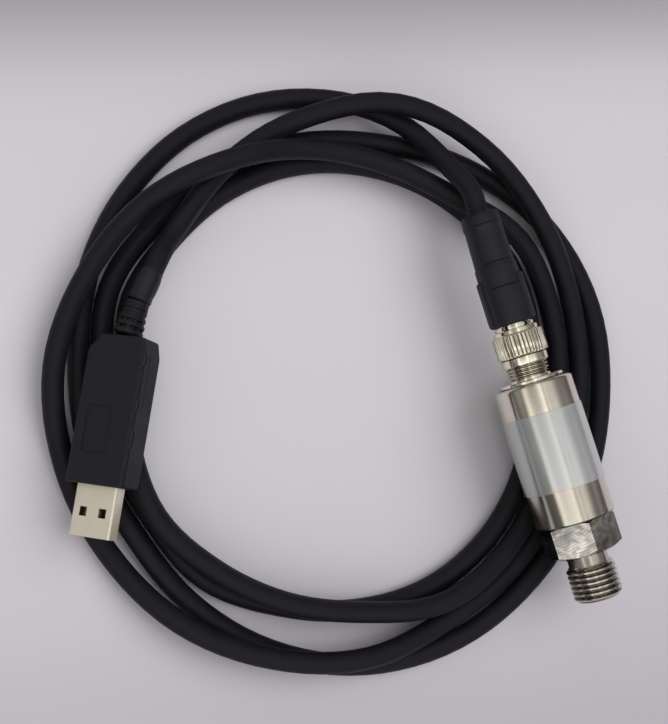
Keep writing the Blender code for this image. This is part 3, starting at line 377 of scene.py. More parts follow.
def milled_metal(name, colour, dark, roughness):
    """Metal with shallow arcs from a milling cutter, over a face that isn't quite flat."""
    made = look(name, colour, roughness, 1.0)
    centre = add(made, "VectorMath", {0: place_of(made), 1: (0.012, -0.010, -0.004)}).outputs["Vector"]
    arcs = add(made, "TexWave", {"Vector": centre, "Scale": 420.0, "Distortion": 1.5, "Detail": 3.0,
                                 "Detail Scale": 1.5}, wave_type="RINGS", rings_direction="SPHERICAL")
    broad = noise(made, 120, 2.0)
    cloud = noise(made, 150, 3.0, (1, 0.7, 1))
    feed(made, "Base Color", colours(made, cloud, (0.36, dark), (0.62, colour)))
    feed(made, "Roughness", spread(made, arcs.outputs["Fac"], roughness * 0.8, roughness * 1.3, 0, 1))
    bump(made, broad, 0.0008)
    bump(made, arcs.outputs["Fac"], 0.000004)
    return made


def materials():
    """All materials by the record's slot name, and the hexagon's own finish."""
    made = {}

    def metal(name, colour, dark, roughness, anisotropic, **lines):
        made[name] = turned_metal(name, colour, dark, roughness, anisotropic, **lines)

    def moulded(name, colour, pale, roughness, grain, depth, **rest):
        made[name] = grained(name, colour, pale, roughness, grain, depth, **rest)

    metal("brushed_steel", (0.74, 0.68, 0.585), (0.69, 0.635, 0.55), 0.22, 0.75)
    metal("machined_steel", (0.66, 0.605, 0.53), (0.53, 0.485, 0.425), 0.21, 0.5,
          fine=3600, depth=0.0000012)
    made["milled_steel"] = milled_metal("milled_steel", (0.53, 0.508, 0.472), (0.29, 0.278, 0.262), 0.17)
    metal("header_steel", (0.50, 0.49, 0.46), (0.42, 0.41, 0.39), 0.35, 0.4)
    metal("nickel", (0.90, 0.82, 0.675), (0.82, 0.745, 0.61), 0.15, 0.4, fine=4200)
    metal("contact_gold", (0.83, 0.60, 0.26), (0.70, 0.48, 0.20), 0.22, 0.3, fine=6000)
    moulded("label_film", (0.51, 0.52, 0.515), (0.54, 0.55, 0.545), 0.21, 1400, 0.000001, metallic=0.65)
    moulded("boot_black", (0.0074, 0.0074, 0.0114), (0.0104, 0.0104, 0.0154), 0.52, 2600, 0.00002,
            Specular_IOR_Level=0.35)
    moulded("cable_black", (0.0055, 0.0050, 0.0076), (0.0086, 0.0080, 0.0115), 0.56, 1900, 0.00002,
            Specular_IOR_Level=0.22)
    moulded("shrink_black", (0.0060, 0.0058, 0.0084), (0.0090, 0.0087, 0.0120), 0.46, 1500, 0.00004,
            Specular_IOR_Level=0.4)
    moulded("housing_grey", (0.0085, 0.0077, 0.0128), (0.0108, 0.0099, 0.0156), 0.55, 3400, 0.00002,
            Specular_IOR_Level=0.28)
    moulded("seal_rubber", (0.008, 0.008, 0.009), (0.013, 0.013, 0.014), 0.6, 2400, 0.00002)
    moulded("insert_black", (0.014, 0.013, 0.013), (0.02, 0.019, 0.019), 0.5, 2400, 0.00001)
    moulded("tongue_white", (0.72, 0.72, 0.70), (0.78, 0.78, 0.76), 0.42, 2400, 0.00001)
    moulded("cell_ceramic", (0.78, 0.77, 0.73), (0.84, 0.83, 0.79), 0.4, 3000, 0.00001)
    moulded("board_green", (0.02, 0.11, 0.05), (0.03, 0.15, 0.07), 0.4, 1800, 0.00002)
    moulded("chip_black", (0.012, 0.012, 0.013), (0.02, 0.02, 0.021), 0.5, 4200, 0.00001)
    moulded("usb_shell", (0.81, 0.725, 0.60), (0.87, 0.785, 0.655), 0.30, 900, 0.000003, metallic=0.65)
    wave = noise(made["cable_black"], 210, 2.0)
    bump(made["cable_black"], wave, 0.00012)
    return made


LOOKS = materials()


# Mesh helpers

def rounded(points, closed=False, steps=5):
    """Turns each corner that carries a third value into an arc of that radius."""
    out = []
    for i, point in enumerate(points):
        corner = Vector(point[:2])
        if len(point) < 3:
            out.append(corner)
            continue
        before = (Vector(points[i - 1][:2]) - corner).normalized()
        after = (Vector(points[(i + 1) % len(points)][:2]) - corner).normalized()
        half = before.angle(after) / 2
        centre = corner + (before + after).normalized() * point[2] / math.sin(half)
        reach = point[2] / math.tan(half)
        first = corner + before * reach - centre
        last = corner + after * reach - centre
        for k in range(steps + 1):
            out.append(centre + first.lerp(last, k / steps).normalized() * point[2])
    return out


def smooth(piece, sharp=30):
    """Smooth shading with sharp edges above an angle, where large faces keep their own flat normals."""
    piece.data.shade_smooth()
    piece.data.set_sharp_from_angle(angle=math.radians(sharp))
    return modified(piece, "WEIGHTED_NORMAL", keep_sharp=True)


def plain(name, bm):
    """An object from a bmesh, in the scene but not yet a piece."""
    bmesh.ops.remove_doubles(bm, verts=bm.verts, dist=0.0000005)
    bmesh.ops.recalc_face_normals(bm, faces=bm.faces)
    mesh = bpy.data.meshes.new(name)
    bm.to_mesh(mesh)
    bm.free()
    item = bpy.data.objects.new(name, mesh)
    bpy.context.scene.collection.objects.link(item)
    return item


def show(name, bm, slot, stands_for=(), body=BODY, sharp=30, finish=None):
    """Makes a shown piece from a bmesh, which rides on a body and may stand for CAD nodes."""
    piece = plain(name, bm)
    piece.data.materials.append(LOOKS[finish or slot])
    piece.data.shade_smooth()
    piece.data.set_sharp_from_angle(angle=math.radians(sharp))
    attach(piece, body)
    if stands_for:
        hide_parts(*stands_for)
    return piece


def modified(piece, kind, **settings):
    """Adds a modifier and applies it."""
    modifier = piece.modifiers.new(kind.lower(), kind)
    for key, value in settings.items():
        setattr(modifier, key, value)
    graph = bpy.context.evaluated_depsgraph_get()
    mesh = bpy.data.meshes.new_from_object(piece.evaluated_get(graph))
    piece.modifiers.clear()
    piece.data = mesh
    return piece


def carve(piece, bm, operation="DIFFERENCE"):
    """Cuts a piece with a bmesh, or joins or intersects them."""
    tool = plain("tool", bm)
    modified(piece, "BOOLEAN", operation=operation, solver="EXACT", object=tool)
    bpy.data.objects.remove(tool)
    return piece


def block(size, place, turn=None):
    """A box as a bmesh, to cut with."""
    bm = bmesh.new()
    bmesh.ops.create_cube(bm, size=1, matrix=(turn or Matrix()) @ Matrix.Translation(place)
                          @ Matrix.Diagonal((*size, 1)))
    return bm


def prism(outline, low, high):
    """A flat outline in the XY plane, raised from low to high, as a bmesh."""
    bm = bmesh.new()
    floor_ring = [bm.verts.new((x, y, low)) for x, y in outline]
    roof_ring = [bm.verts.new((x, y, high)) for x, y in outline]
    bm.faces.new(list(reversed(floor_ring)))
    bm.faces.new(roof_ring)
    for k in range(len(outline)):
        n = (k + 1) % len(outline)
        bm.faces.new((floor_ring[k], floor_ring[n], roof_ring[n], roof_ring[k]))
    return bm


def soften(bm, width, segments, chosen):
    """Rounds the edges of a bmesh that the given test picks."""
    edges = [edge for edge in bm.edges if chosen(*(v.co for v in edge.verts))]
    bmesh.ops.bevel(bm, geom=edges, offset=width, segments=segments, profile=0.5, affect="EDGES",
                    clamp_overlap=True)


def ring_mesh(rows, steps=ROUND, closed=False):
    """Surface round the Y axis. Each row is (radius, station), where the radius may be a function of the
    angle, which runs from +Z towards +X. A row of radius 0 is a point on the axis. A closed surface joins its
    last row to its first. A third value in a row is a function of the angle, which marks from 0 to 1 how dark
    each place is painted: painted shade in grooves, slots and gaps, and a plain darker tone on the relief's
    ribs."""
    bm = bmesh.new()
    rings = []
    # Per vertex mark of painted shade, and on the relief's ribs of a darker tone
    painted_shade_and_tone = bm.verts.layers.float.new("painted_shade_and_tone")
    for radius, station, *painted_mark in rows:
        if radius == 0:
            rings.append([bm.verts.new((0, station, 0))])
            continue
        ring = []
        for k in range(steps):
            angle = 2 * math.pi * k / steps
            r = radius(angle) if callable(radius) else radius
            vert = bm.verts.new((r * math.sin(angle), station, r * math.cos(angle)))
            if painted_mark:
                vert[painted_shade_and_tone] = painted_mark[0](angle)
            ring.append(vert)
        rings.append(ring)
    pairs = list(zip(rings, rings[1:]))
    if closed:
        pairs.append((rings[-1], rings[0]))
    for low, high in pairs:
        for k in range(steps):
            n = (k + 1) % steps
            corners = [low[k % len(low)], low[n % len(low)], high[n % len(high)], high[k % len(high)]]
            seen = []
            for corner in corners:
                if corner not in seen:
                    seen.append(corner)
            bm.faces.new(seen)
    return bm


def marked(value):
    """The same mark all round a row."""
    return lambda angle: value


def flat_rows(points):
    """Rows of a turned profile whose corners are rounded."""
    return [(point.x, point.y) for point in rounded(points)]


def span(node):
    """First and last station of a CAD node along the sensor's axis."""
    low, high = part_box(node)
    return low[1], high[1]


def between(value, points):
    """Height at a value on a broken line of (value, height) points in rising order."""
    for (a, low), (b, high) in zip(points, points[1:]):
        if value <= b:
            return low + (high - low) * max(0.0, value - a) / (b - a)
    return points[-1][1]


def thread_rows(radius, pitch, start, end, first, last, marks, rows_per_pitch=14):
    """Rows of a right-handed thread between two stations, under two outer limits given as functions of the
    station. The marks are painted shade: how dark the thread is painted at each share of its depth."""
    count = round((end - start) / pitch * rows_per_pitch)

    def share(station, angle):
        phase = ((station - start) / pitch + angle / (2 * math.pi)) % 1
        deep = min(max((abs(phase - 0.5) * 2 - THREAD_CREST) / THREAD_FLANK, 0), 1)
        return deep * deep * (3 - 2 * deep)

    def row(station):
        def height(angle):
            return min(radius - THREAD_DEPTH * pitch * share(station, angle), first(station), last(station))

        def dark(angle):
            return between(share(station, angle), marks)
        return height, station, dark

    return [row(start + (end - start) * k / count) for k in range(count + 1)]


# Camera, floor and light

def camera():
    data = bpy.data.cameras.new("camera")
    data.sensor_fit = "VERTICAL"
    data.sensor_height = FILM_HEIGHT
    data.lens = FILM_HEIGHT * FOCAL_PIXELS / PHOTO_HEIGHT
    data.clip_start = 0.01
    item = bpy.data.objects.new("camera", data)
    turn = Matrix((CAMERA_RIGHT, CAMERA_UP, CAMERA_RIGHT.cross(CAMERA_UP))).transposed()
    item.matrix_world = Matrix.Translation(CAMERA_PLACE) @ turn.to_4x4()
    bpy.context.scene.collection.objects.link(item)
    bpy.context.scene.camera = item


def floor():
    """Pale table with painted light: its tone changes slowly along one direction, as the light does on the
    photographed one.
    """
    bm = bmesh.new()
    bmesh.ops.create_circle(bm, cap_ends=True, segments=96, radius=2.5)
    item = plain("floor", bm)
    item.location = (0, 0, FLOOR)
    made = look("floor", FLOOR_TINT, 0.8, Specular_IOR_Level=0.15)
    along = add(made, "VectorMath", {0: place_of(made), 1: FLOOR_WAY}, operation="DOT_PRODUCT")
    share = spread(made, along.outputs["Value"], 0, 1, -FLOOR_REACH, FLOOR_REACH)
    # Painted light: brightest across the middle, darker towards both ends
    stops = [((station + FLOOR_REACH) / (2 * FLOOR_REACH), [c * tone for c in FLOOR_TINT])
             for station, tone in FLOOR_PAINTED_LIGHT]
    feed(made, "Base Color", colours(made, share, *stops))
    bump(made, noise(made, 1300, 3.0), 0.00002, 0.4)
    item.data.materials.append(made)


def lamp(name, place, level, spread_angle):
    """A soft far lamp that lights the scene, while the room's own bands show in the metal."""
    data = bpy.data.lights.new(name, "SUN")
    data.angle = spread_angle
    item = bpy.data.objects.new(name, data)
    item.location = place
    data.energy = level * math.pi * Vector(place).length / place[2]
    item.rotation_euler = Vector(place).to_track_quat("Z", "Y").to_euler()
    item.visible_camera = False
    item.visible_glossy = False
    bpy.context.scene.collection.objects.link(item)


def room():
    """World light in long bands beside and above the sensor: a warm window overhead with a bar across it,
    and dim walls. The camera sees a plain pale backdrop instead."""
    made = bpy.data.worlds.new("room")
    bpy.context.scene.world = made
    made.use_nodes = True
    way = add(made, "SeparateXYZ", {"Vector": add(made, "TexCoord").outputs["Generated"]})
    turn = add(made, "Math", {0: way.outputs["X"], 1: way.outputs["Z"]}, operation="ARCTAN2")
    turn = turn.outputs["Value"]
    share = spread(made, turn, 0, 1, -math.pi, math.pi)
    bands = []
    for end in (1, 2):
        stops = []
        for band in ROOM_BANDS:
            stops.append(((band[0] + 180) / 360, [c * band[end] / ROOM_LEVEL for c in band[3]]))
        bands.append(colours(made, share, *stops))
    towards = spread(made, way.outputs["Y"], 0, 1, *ROOM_ENDS)
    band = add(made, "MixRGB", {"Fac": towards, "Color1": bands[0], "Color2": bands[1]}).outputs["Color"]
    streaks = add(made, "TexNoise", {"W": turn, "Scale": 14.0, "Detail": 3.0}, noise_dimensions="1D")
    ripple = spread(made, streaks.outputs["Fac"], *ROOM_RIPPLE)
    along = spread(made, way.outputs["Y"], 0, 1, -1, 1)
    fall = colours(made, along, *[((place + 1) / 2, [level / 2] * 3) for place, level in ROOM_ALONG])
    level = add(made, "Math", {0: ripple, 1: fall}, operation="MULTIPLY").outputs["Value"]
    strength = add(made, "Math", {0: level, 1: ROOM_LEVEL}, operation="MULTIPLY").outputs["Value"]
    light_ground = made.node_tree.nodes["Background"]
    made.node_tree.links.new(band, light_ground.inputs["Color"])
    made.node_tree.links.new(strength, light_ground.inputs["Strength"])
    seen = add(made, "Background", {"Color": (*BACKDROP, 1)})
    path = add(made, "LightPath")
    mix = add(made, "MixShader", {0: path.outputs["Is Camera Ray"], 1: light_ground.outputs["Background"],
                                  2: seen.outputs["Background"]})
    made.node_tree.links.new(mix.outputs["Shader"], made.node_tree.nodes["World Output"].inputs["Surface"])


# Cable

def polar(position):
    """Point of the cable's smooth route, position counted in stations from the first one."""
    pairs = [pair for turn in CORD_TURNS for pair in turn]
    index = min(int(position), len(pairs) - 2)
    t = position - index
    ends = [pairs[min(max(index + k, 0), len(pairs) - 1)] for k in (-1, 0, 1, 2)]
    radius, height = (
        (2 * b + (c - a) * t + (2 * a - 5 * b + 4 * c - d) * t ** 2 + (3 * b - a - 3 * c + d) * t ** 3) / 2
        for a, b, c, d in zip(*ends))
    angle = CORD_FIRST + CORD_STEP * position
    return Vector((CORD_CENTRE.x + radius * math.cos(angle), CORD_CENTRE.y + radius * math.sin(angle),
                   FLOOR + height))


def ahead(heading):
    """Level direction, with the heading counted from +Y."""
    return Vector((-math.sin(heading), math.cos(heading), 0))


def bridge(start, start_way, end, end_way, steps):
    """Points of a smooth stretch between two points with given directions, without its last point."""
    reach = (end - start).length
    for k in range(steps):
        t = k / steps
        yield (start * (2 * t ** 3 - 3 * t ** 2 + 1) + start_way * reach * (t ** 3 - 2 * t ** 2 + t)
               + end * (3 * t ** 2 - 2 * t ** 3) + end_way * reach * (t ** 3 - t ** 2))


def cord_path():
    stations = sum(len(turn) for turn in CORD_TURNS)
    small = 0.01
    first = polar(0)
    first_way = (polar(small) - first).normalized()
    last = polar(stations - 1)
    last_way = (last - polar(stations - 1 - small)).normalized()
    sleeve_way = -ahead(SHRINK_HEADING)
    sleeve_end = SHRINK_START - sleeve_way * (SHRINK_LENGTH + 0.001)
    path = list(bridge(CORD_EXIT, Vector((0, 1, 0)), first, first_way, 5))
    count = (stations - 1) * CORD_RINGS_PER_STATION
    path += [polar(k / CORD_RINGS_PER_STATION) for k in range(count)]
    path += list(bridge(last, last_way, sleeve_end, sleeve_way, 6))
    path += [sleeve_end, sleeve_end + sleeve_way * SHRINK_LENGTH / 2, SHRINK_START]
    return path


def cord():
    """The whole cable as one tube along its route."""
    path = cord_path()
    bm = bmesh.new()
    rings = []
    across = Vector((1, 0, 0))
    for i, point in enumerate(path):
        way = (path[min(i + 1, len(path) - 1)] - path[max(i - 1, 0)]).normalized()
        across = (across - way * across.dot(way)).normalized()
        upright = way.cross(across)
        ring = []
        for k in range(CORD_SIDES):
            angle = 2 * math.pi * k / CORD_SIDES
            out = across * math.cos(angle) + upright * math.sin(angle)
            ring.append(bm.verts.new(point + out * CORD_RADIUS))
        rings.append(ring)
    for low, high in zip(rings, rings[1:]):
        for k in range(CORD_SIDES):
            n = (k + 1) % CORD_SIDES
            bm.faces.new((low[k], low[n], high[n], high[k]))
    bm.faces.new(rings[0])
    bm.faces.new(rings[-1])
    piece = show("cable", bm, "cable_black", ("cord",), sharp=60)
    length = sum((b - a).length for a, b in zip(path, path[1:]))
    return piece, path, length


# Sensor

def process_fitting():
    """Thread with its end chamfer, undercut neck and hexagon."""
    start, _ = span("process_fitting")
    top = start + THREAD_LENGTH
    hex_bottom = top + NECK_LENGTH
    hex_top = hex_bottom + HEX_HEIGHT
    core = THREAD_RADIUS - THREAD_DEPTH * THREAD_PITCH

    def lead(station):
        return THREAD_RADIUS - THREAD_CHAMFER + (station - start) * 1.1

    def runout(station):
        return core + (top - station) * 0.9

    rows = [(0, start + PORT_SHOWN), (PORT_RADIUS, start + PORT_SHOWN), (PORT_RADIUS, start + PORT_CHAMFER),
            (PORT_RADIUS + PORT_CHAMFER, start)]
    # Thread with painted shade in its grooves
    rows += thread_rows(THREAD_RADIUS, THREAD_PITCH, start, top, lead, runout, THREAD_PAINTED_SHADE)
    rows += [(core - 0.0001, top), (NECK_RADIUS, top + 0.0004), (NECK_RADIUS, hex_bottom + 0.002),
             (0, hex_bottom + 0.002)]
    show("process_thread", ring_mesh(rows), "machined_steel", sharp=50)
    turn = Matrix.Rotation(math.radians(90), 4, "X") @ Matrix.Rotation(-HEX_TURN, 4, "Z")
    middle = Matrix.Translation((0, (hex_bottom + hex_top + FIT) / 2, 0))
    bm = bmesh.new()
    corner = HEX_FLATS / math.sqrt(3)
    bmesh.ops.create_cone(bm, cap_ends=True, segments=6, radius1=corner, radius2=corner,
                          depth=HEX_HEIGHT + FIT, matrix=middle @ turn)
    hexagon = show("process_hexagon", bm, "machined_steel", ("process_fitting",), finish="milled_steel")
    slope = math.tan(math.radians(30))
    flat = HEX_FLATS / 2 - HEX_CHAMFER * 0.7
    reach = 0.006
    crown = hex_top + FIT - 0.0001
    crown_width, crown_height = HEX_CROWN
    limit = ring_mesh([(0, hex_bottom), (flat, hex_bottom), (flat + reach, hex_bottom + reach * slope),
                       (flat + reach, crown - crown_height), (flat + crown_width, crown), (0, crown)])
    carve(hexagon, limit, "INTERSECT")
    modified(hexagon, "BEVEL", width=HEX_BEVEL, segments=3, limit_method="ANGLE",
             angle_limit=math.radians(35))
    smooth(hexagon, 35)


def housing():
    """Brushed tube with its rounded top edge, and the label round it."""
    bottom, top = span("housing_tube")
    rows = flat_rows([(MOUTH_RADIUS, top - MOUTH_LENGTH), (MOUTH_RADIUS, top, 0.0001),
                      (BODY_RADIUS, top, BODY_EDGE), (BODY_RADIUS, top - 0.01)])
    rows.append((BODY_RADIUS, bottom + 0.0005))
    # Painted shade along the body's bottom rim
    rows += [(BODY_RADIUS - inset, bottom + lift, marked(dark)) for inset, lift, dark in BODY_FOOT]
    rows += [(BODY_BORE, bottom), (BODY_BORE, top - 2 * MOUTH_LENGTH)]
    show("sensor_housing", ring_mesh(rows, closed=True), "brushed_steel", ("housing_tube",))
    low, high = span("identification_label")
    inner = BODY_RADIUS + LABEL_EDGE
    rim = LABEL_RADIUS - 0.00003
    rows = [(inner, low), (rim, low), (LABEL_RADIUS, low + LABEL_EDGE), (LABEL_RADIUS, high - LABEL_EDGE),
            (rim, high), (inner, high)]
    show("sensor_label", ring_mesh(rows, closed=True), "label_film", ("identification_label",))


def connector_base():
    """Flange, sealing groove, plain collar and the threaded sleeve."""
    bottom = span("housing_tube")[1] + 0.0002
    flange_top = span("housing_tube")[1] + FLANGE_THICKNESS
    groove_top = flange_top + GROOVE_WIDTH
    collar_top = groove_top + SLEEVE_COLLAR
    end = span("connector_base")[1]
    rows = flat_rows([
        (BASE_RADIUS, bottom - BASE_SUNK), (BASE_RADIUS, bottom), (FLANGE_RADIUS, bottom, 0.0001),
        (FLANGE_RADIUS, flange_top, 0.00025), (GROOVE_RADIUS, flange_top), (GROOVE_RADIUS, groove_top),
        (SLEEVE_RADIUS, groove_top, 0.0001), (SLEEVE_RADIUS, collar_top, 0.00015)])
    core = SLEEVE_RADIUS - THREAD_DEPTH * SLEEVE_PITCH

    def runout(station):
        return core + (station - collar_top) * 1.2

    def lead(station):
        return core + (end - station) * 1.1

    # Thread with painted shade on its flanks
    rows += thread_rows(SLEEVE_RADIUS, SLEEVE_PITCH, collar_top, end, runout, lead, SLEEVE_PAINTED_SHADE)
    rows += [(SLEEVE_BORE, end), (SLEEVE_BORE, bottom - BASE_SUNK)]
    show("connector_sleeve", ring_mesh(rows, closed=True), "nickel", ("connector_base",), sharp=45)


def coupling_nut():
    """Knurled nut that turns on the connector."""
    front, back = span("coupling_nut")
    knurl_low = front + NUT_FRONT_LENGTH
    knurl_high = knurl_low + KNURL_LENGTH

    def dip(angle):
        phase = (angle * KNURL_COUNT / (2 * math.pi)) % 1
        return max(0.0, 1 - abs(phase - 0.5) / FLUTE_HALF)

    def flute(share, lower=0.0):
        def radius(angle):
            return KNURL_RADIUS - lower - FLUTE_DEPTH * share * dip(angle)
        return radius

    # Painted shade, darkest where the flute is deepest
    def dark(angle):
        return FLUTE_PAINTED_SHADE * dip(angle)

    rows = [(NUT_BORE, front + 0.0003), (NUT_BORE + 0.0002, front)]
    rows += flat_rows([(0.0060, front), (NUT_FRONT_RADIUS, front, 0.00025),
                       (NUT_FRONT_RADIUS, knurl_low - NUT_GROOVE_WIDTH - 0.0001)])[1:]
    groove = NUT_FRONT_RADIUS - NUT_GROOVE_DEPTH
    # Painted shade in the groove
    groove_mark = marked(NUT_GROOVE_PAINTED_SHADE)
    rows += [(groove, knurl_low - NUT_GROOVE_WIDTH, groove_mark), (groove, knurl_low, groove_mark)]
    rows += [(flute(0.2, NUT_RIM), knurl_low), (flute(0.7, NUT_RIM / 3), knurl_low + NUT_RIM * 0.6),
             (flute(1), knurl_low + NUT_RIM * 1.2, dark), (flute(1), (knurl_low + knurl_high) / 2, dark),
             (flute(1), knurl_high - NUT_RIM * 1.2, dark),
             (flute(0.7, NUT_RIM / 3), knurl_high - NUT_RIM * 0.6), (flute(0.2, NUT_RIM), knurl_high)]
    rows += flat_rows([(KNURL_RADIUS, knurl_high + 0.0001), (NUT_BACK_RADIUS, knurl_high + 0.0001, 0.0001),
                       (NUT_BACK_RADIUS, back, 0.0002), (NUT_BACK_BORE, back)])[1:]
    rows += [(NUT_BACK_BORE, back - NUT_BACK_WALL), (NUT_BORE, back - NUT_BACK_WALL)]
    bm = ring_mesh(rows, KNURL_COUNT * FLUTE_STEPS, closed=True)
    show("knurled_nut", bm, "nickel", ("coupling_nut",), NUT, sharp=35)


def retaining_collar():
    """Slotted collar between nut and boot."""
    back = span("coupling_nut")[1] + 0.0002
    top = back + COLLAR_HEIGHT
    rows = flat_rows([
        (COLLAR_BORE, back - 0.002), (COLLAR_NECK, back - 0.002), (COLLAR_NECK, back),
        (COLLAR_RADIUS, back, 0.0001), (COLLAR_RADIUS, top, 0.0001), (COLLAR_NECK, top),
        (COLLAR_NECK, back + 0.004), (COLLAR_BORE, back + 0.004)])
    collar = show("nut_collar", ring_mesh(rows, closed=True), "nickel", ("nut_retaining_collar",))
    for k in range(COLLAR_SLOTS):
        turn = Matrix.Rotation(COLLAR_TURN + 2 * math.pi * k / COLLAR_SLOTS, 4, "Y")
        carve(collar, block(COLLAR_SLOT_SIZE, (0, top, COLLAR_RADIUS - 0.0009), turn))
    smooth(collar)


def off(angle, middle):
    """Angle between two directions round the axis, without its sign."""
    return abs((angle - middle + math.pi) % (2 * math.pi) - math.pi)


def connector_boot():
    """Moulded boot: grip with a wing on each side and a slightly raised panel between them, ring grooves on
    the panel, tapered rear, thicker tail, and a lip round the cable."""
    front, back = span("connector_boot")
    length = back - front
    tail = length - BOOT_TAIL_LENGTH
    core = [(0, BOOT_GRIP_RADIUS - 0.0006), (0.00015, BOOT_GRIP_RADIUS - 0.00028),
            (0.0004, BOOT_GRIP_RADIUS - 0.00008), (0.0008, BOOT_GRIP_RADIUS),
            (BOOT_GRIP_LENGTH - 0.0002, BOOT_GRIP_RADIUS),
            (BOOT_GRIP_LENGTH + 0.0001, BOOT_GRIP_RADIUS - 0.0001),
            (BOOT_GRIP_LENGTH + 0.0003, BOOT_REAR_RADIUS), (tail - 0.0003, BOOT_WAIST_RADIUS),
            (tail - 0.0001, BOOT_TAIL_RADIUS - 0.0001), (tail + 0.0003, BOOT_TAIL_RADIUS),
            (length - 0.0006, BOOT_END_RADIUS + 0.00004), (length - 0.0003, BOOT_END_RADIUS - 0.00006),
            (length - 0.0001, BOOT_END_RADIUS - 0.00022), (length, BOOT_END_RADIUS - 0.0005)]
    ramp = [(0, 0), (0.00012, 0.35), (0.0004, 0.68), (0.0008, 0.92), (0.0012, 1), (WING_LENGTH - 0.0005, 1),
            (WING_LENGTH - 0.0002, 0.8), (WING_LENGTH, 0), (length, 0)]
    ridge = [(0, 0.25), (0.0100, 0.3), (0.0112, 1), (WING_LENGTH - 0.0006, 1), (WING_LENGTH, 0), (length, 0)]
    raised = [(0, 0), (0.0010, 1), (tail - 0.002, 0.6), (tail, 0), (length, 0)]
    panel_middle = (BOOT_PANEL[0] + BOOT_PANEL[1]) / 2
    panel_half = (BOOT_PANEL[1] - BOOT_PANEL[0]) / 2

    def section(station):
        base = between(station, core)
        wing = (WING_RADIUS - BOOT_GRIP_RADIUS) * between(station, ramp)
        lift = 0.00005 * between(station, raised)
        crest = 0.00016 * between(station, ridge)
        cut = sum(BOOT_GROOVE_DEPTH * max(0.0, 1 - abs(station - g) / 0.00032) for g in BOOT_GROOVES)

        def radius(angle):
            away = min(off(angle, middle) for middle in WING_MIDDLES)
            side = min(max((WING_HALF - away) / WING_FLANK, 0), 1)
            edge = max(0.0, 1 - abs(away - WING_HALF + math.radians(3)) / math.radians(3.5))
            inside = min(max((panel_half - off(angle, panel_middle)) / math.radians(3), 0), 1)
            swell = side * side * (3 - 2 * side)
            return base + wing * swell + crest * edge + (lift - cut) * inside
        return radius

    stations = {point[0] for line in (core, ramp, ridge, raised) for point in line}
    stations |= {g + step for g in BOOT_GROOVES for step in (-0.00034, -0.00016, 0, 0.00016, 0.00034)}
    bore = CORD_RADIUS + 0.00002
    rows = [(section(s), front + s) for s in sorted(stations)]
    rows += flat_rows([(0.0045, back), (0.0039, back, 0.0002), (0.0037, back + BOOT_LIP, 0.0002),
                       (bore, back + BOOT_LIP), (bore, front + BOOT_MOUTH_DEPTH),
                       (BOOT_MOUTH_RADIUS, front + BOOT_MOUTH_DEPTH), (BOOT_MOUTH_RADIUS, front)])
    show("cable_boot", ring_mesh(rows, BOOT_STEPS, closed=True), "boot_black", ("connector_boot",))


# Cable end: sleeve, strain relief and USB plug

def carried(bm, place, heading):
    """Moves a bmesh from a cable end's own frame to the scene."""
    bm.transform(Matrix.Translation(place) @ Matrix.Rotation(heading, 4, "Z"))
    return bm


def shrink_sleeve():
    """Heat-shrink sleeve, pulled in round the cable at its far end and slightly uneven."""
    def uneven(radius, station):
        def at(angle):
            return radius + 0.00005 * math.sin(2 * angle + station * 900) + 0.00003 * math.sin(5 * angle)
        return at

    outline = [(CORD_RADIUS + 0.0001, 0.0004), (SHRINK_RADIUS - 0.00012, 0.0003), (SHRINK_RADIUS, 0.0005),
               (SHRINK_RADIUS, 0.0014), (SHRINK_RADIUS - 0.00012, 0.0019), (SHRINK_RADIUS - 0.00002, 0.0025),
               (SHRINK_RADIUS, 0.0045), (SHRINK_RADIUS - 0.00005, 0.0068), (SHRINK_RADIUS - 0.0002, 0.0080),
               (SHRINK_RADIUS - 0.0003, SHRINK_LENGTH - 0.0002), (SHRINK_RADIUS - 0.00042, SHRINK_LENGTH)]
    rows = [(uneven(r, s) if r > SHRINK_RADIUS - 0.0005 else r, s) for r, s in outline]
    rows.append((CORD_RADIUS + 0.0001, SHRINK_LENGTH))
    bm = carried(ring_mesh(rows, 96, closed=True), SHRINK_START, SHRINK_HEADING)
    return show("shrink_tube", bm, "shrink_black", ("heat_shrink_sleeve",))


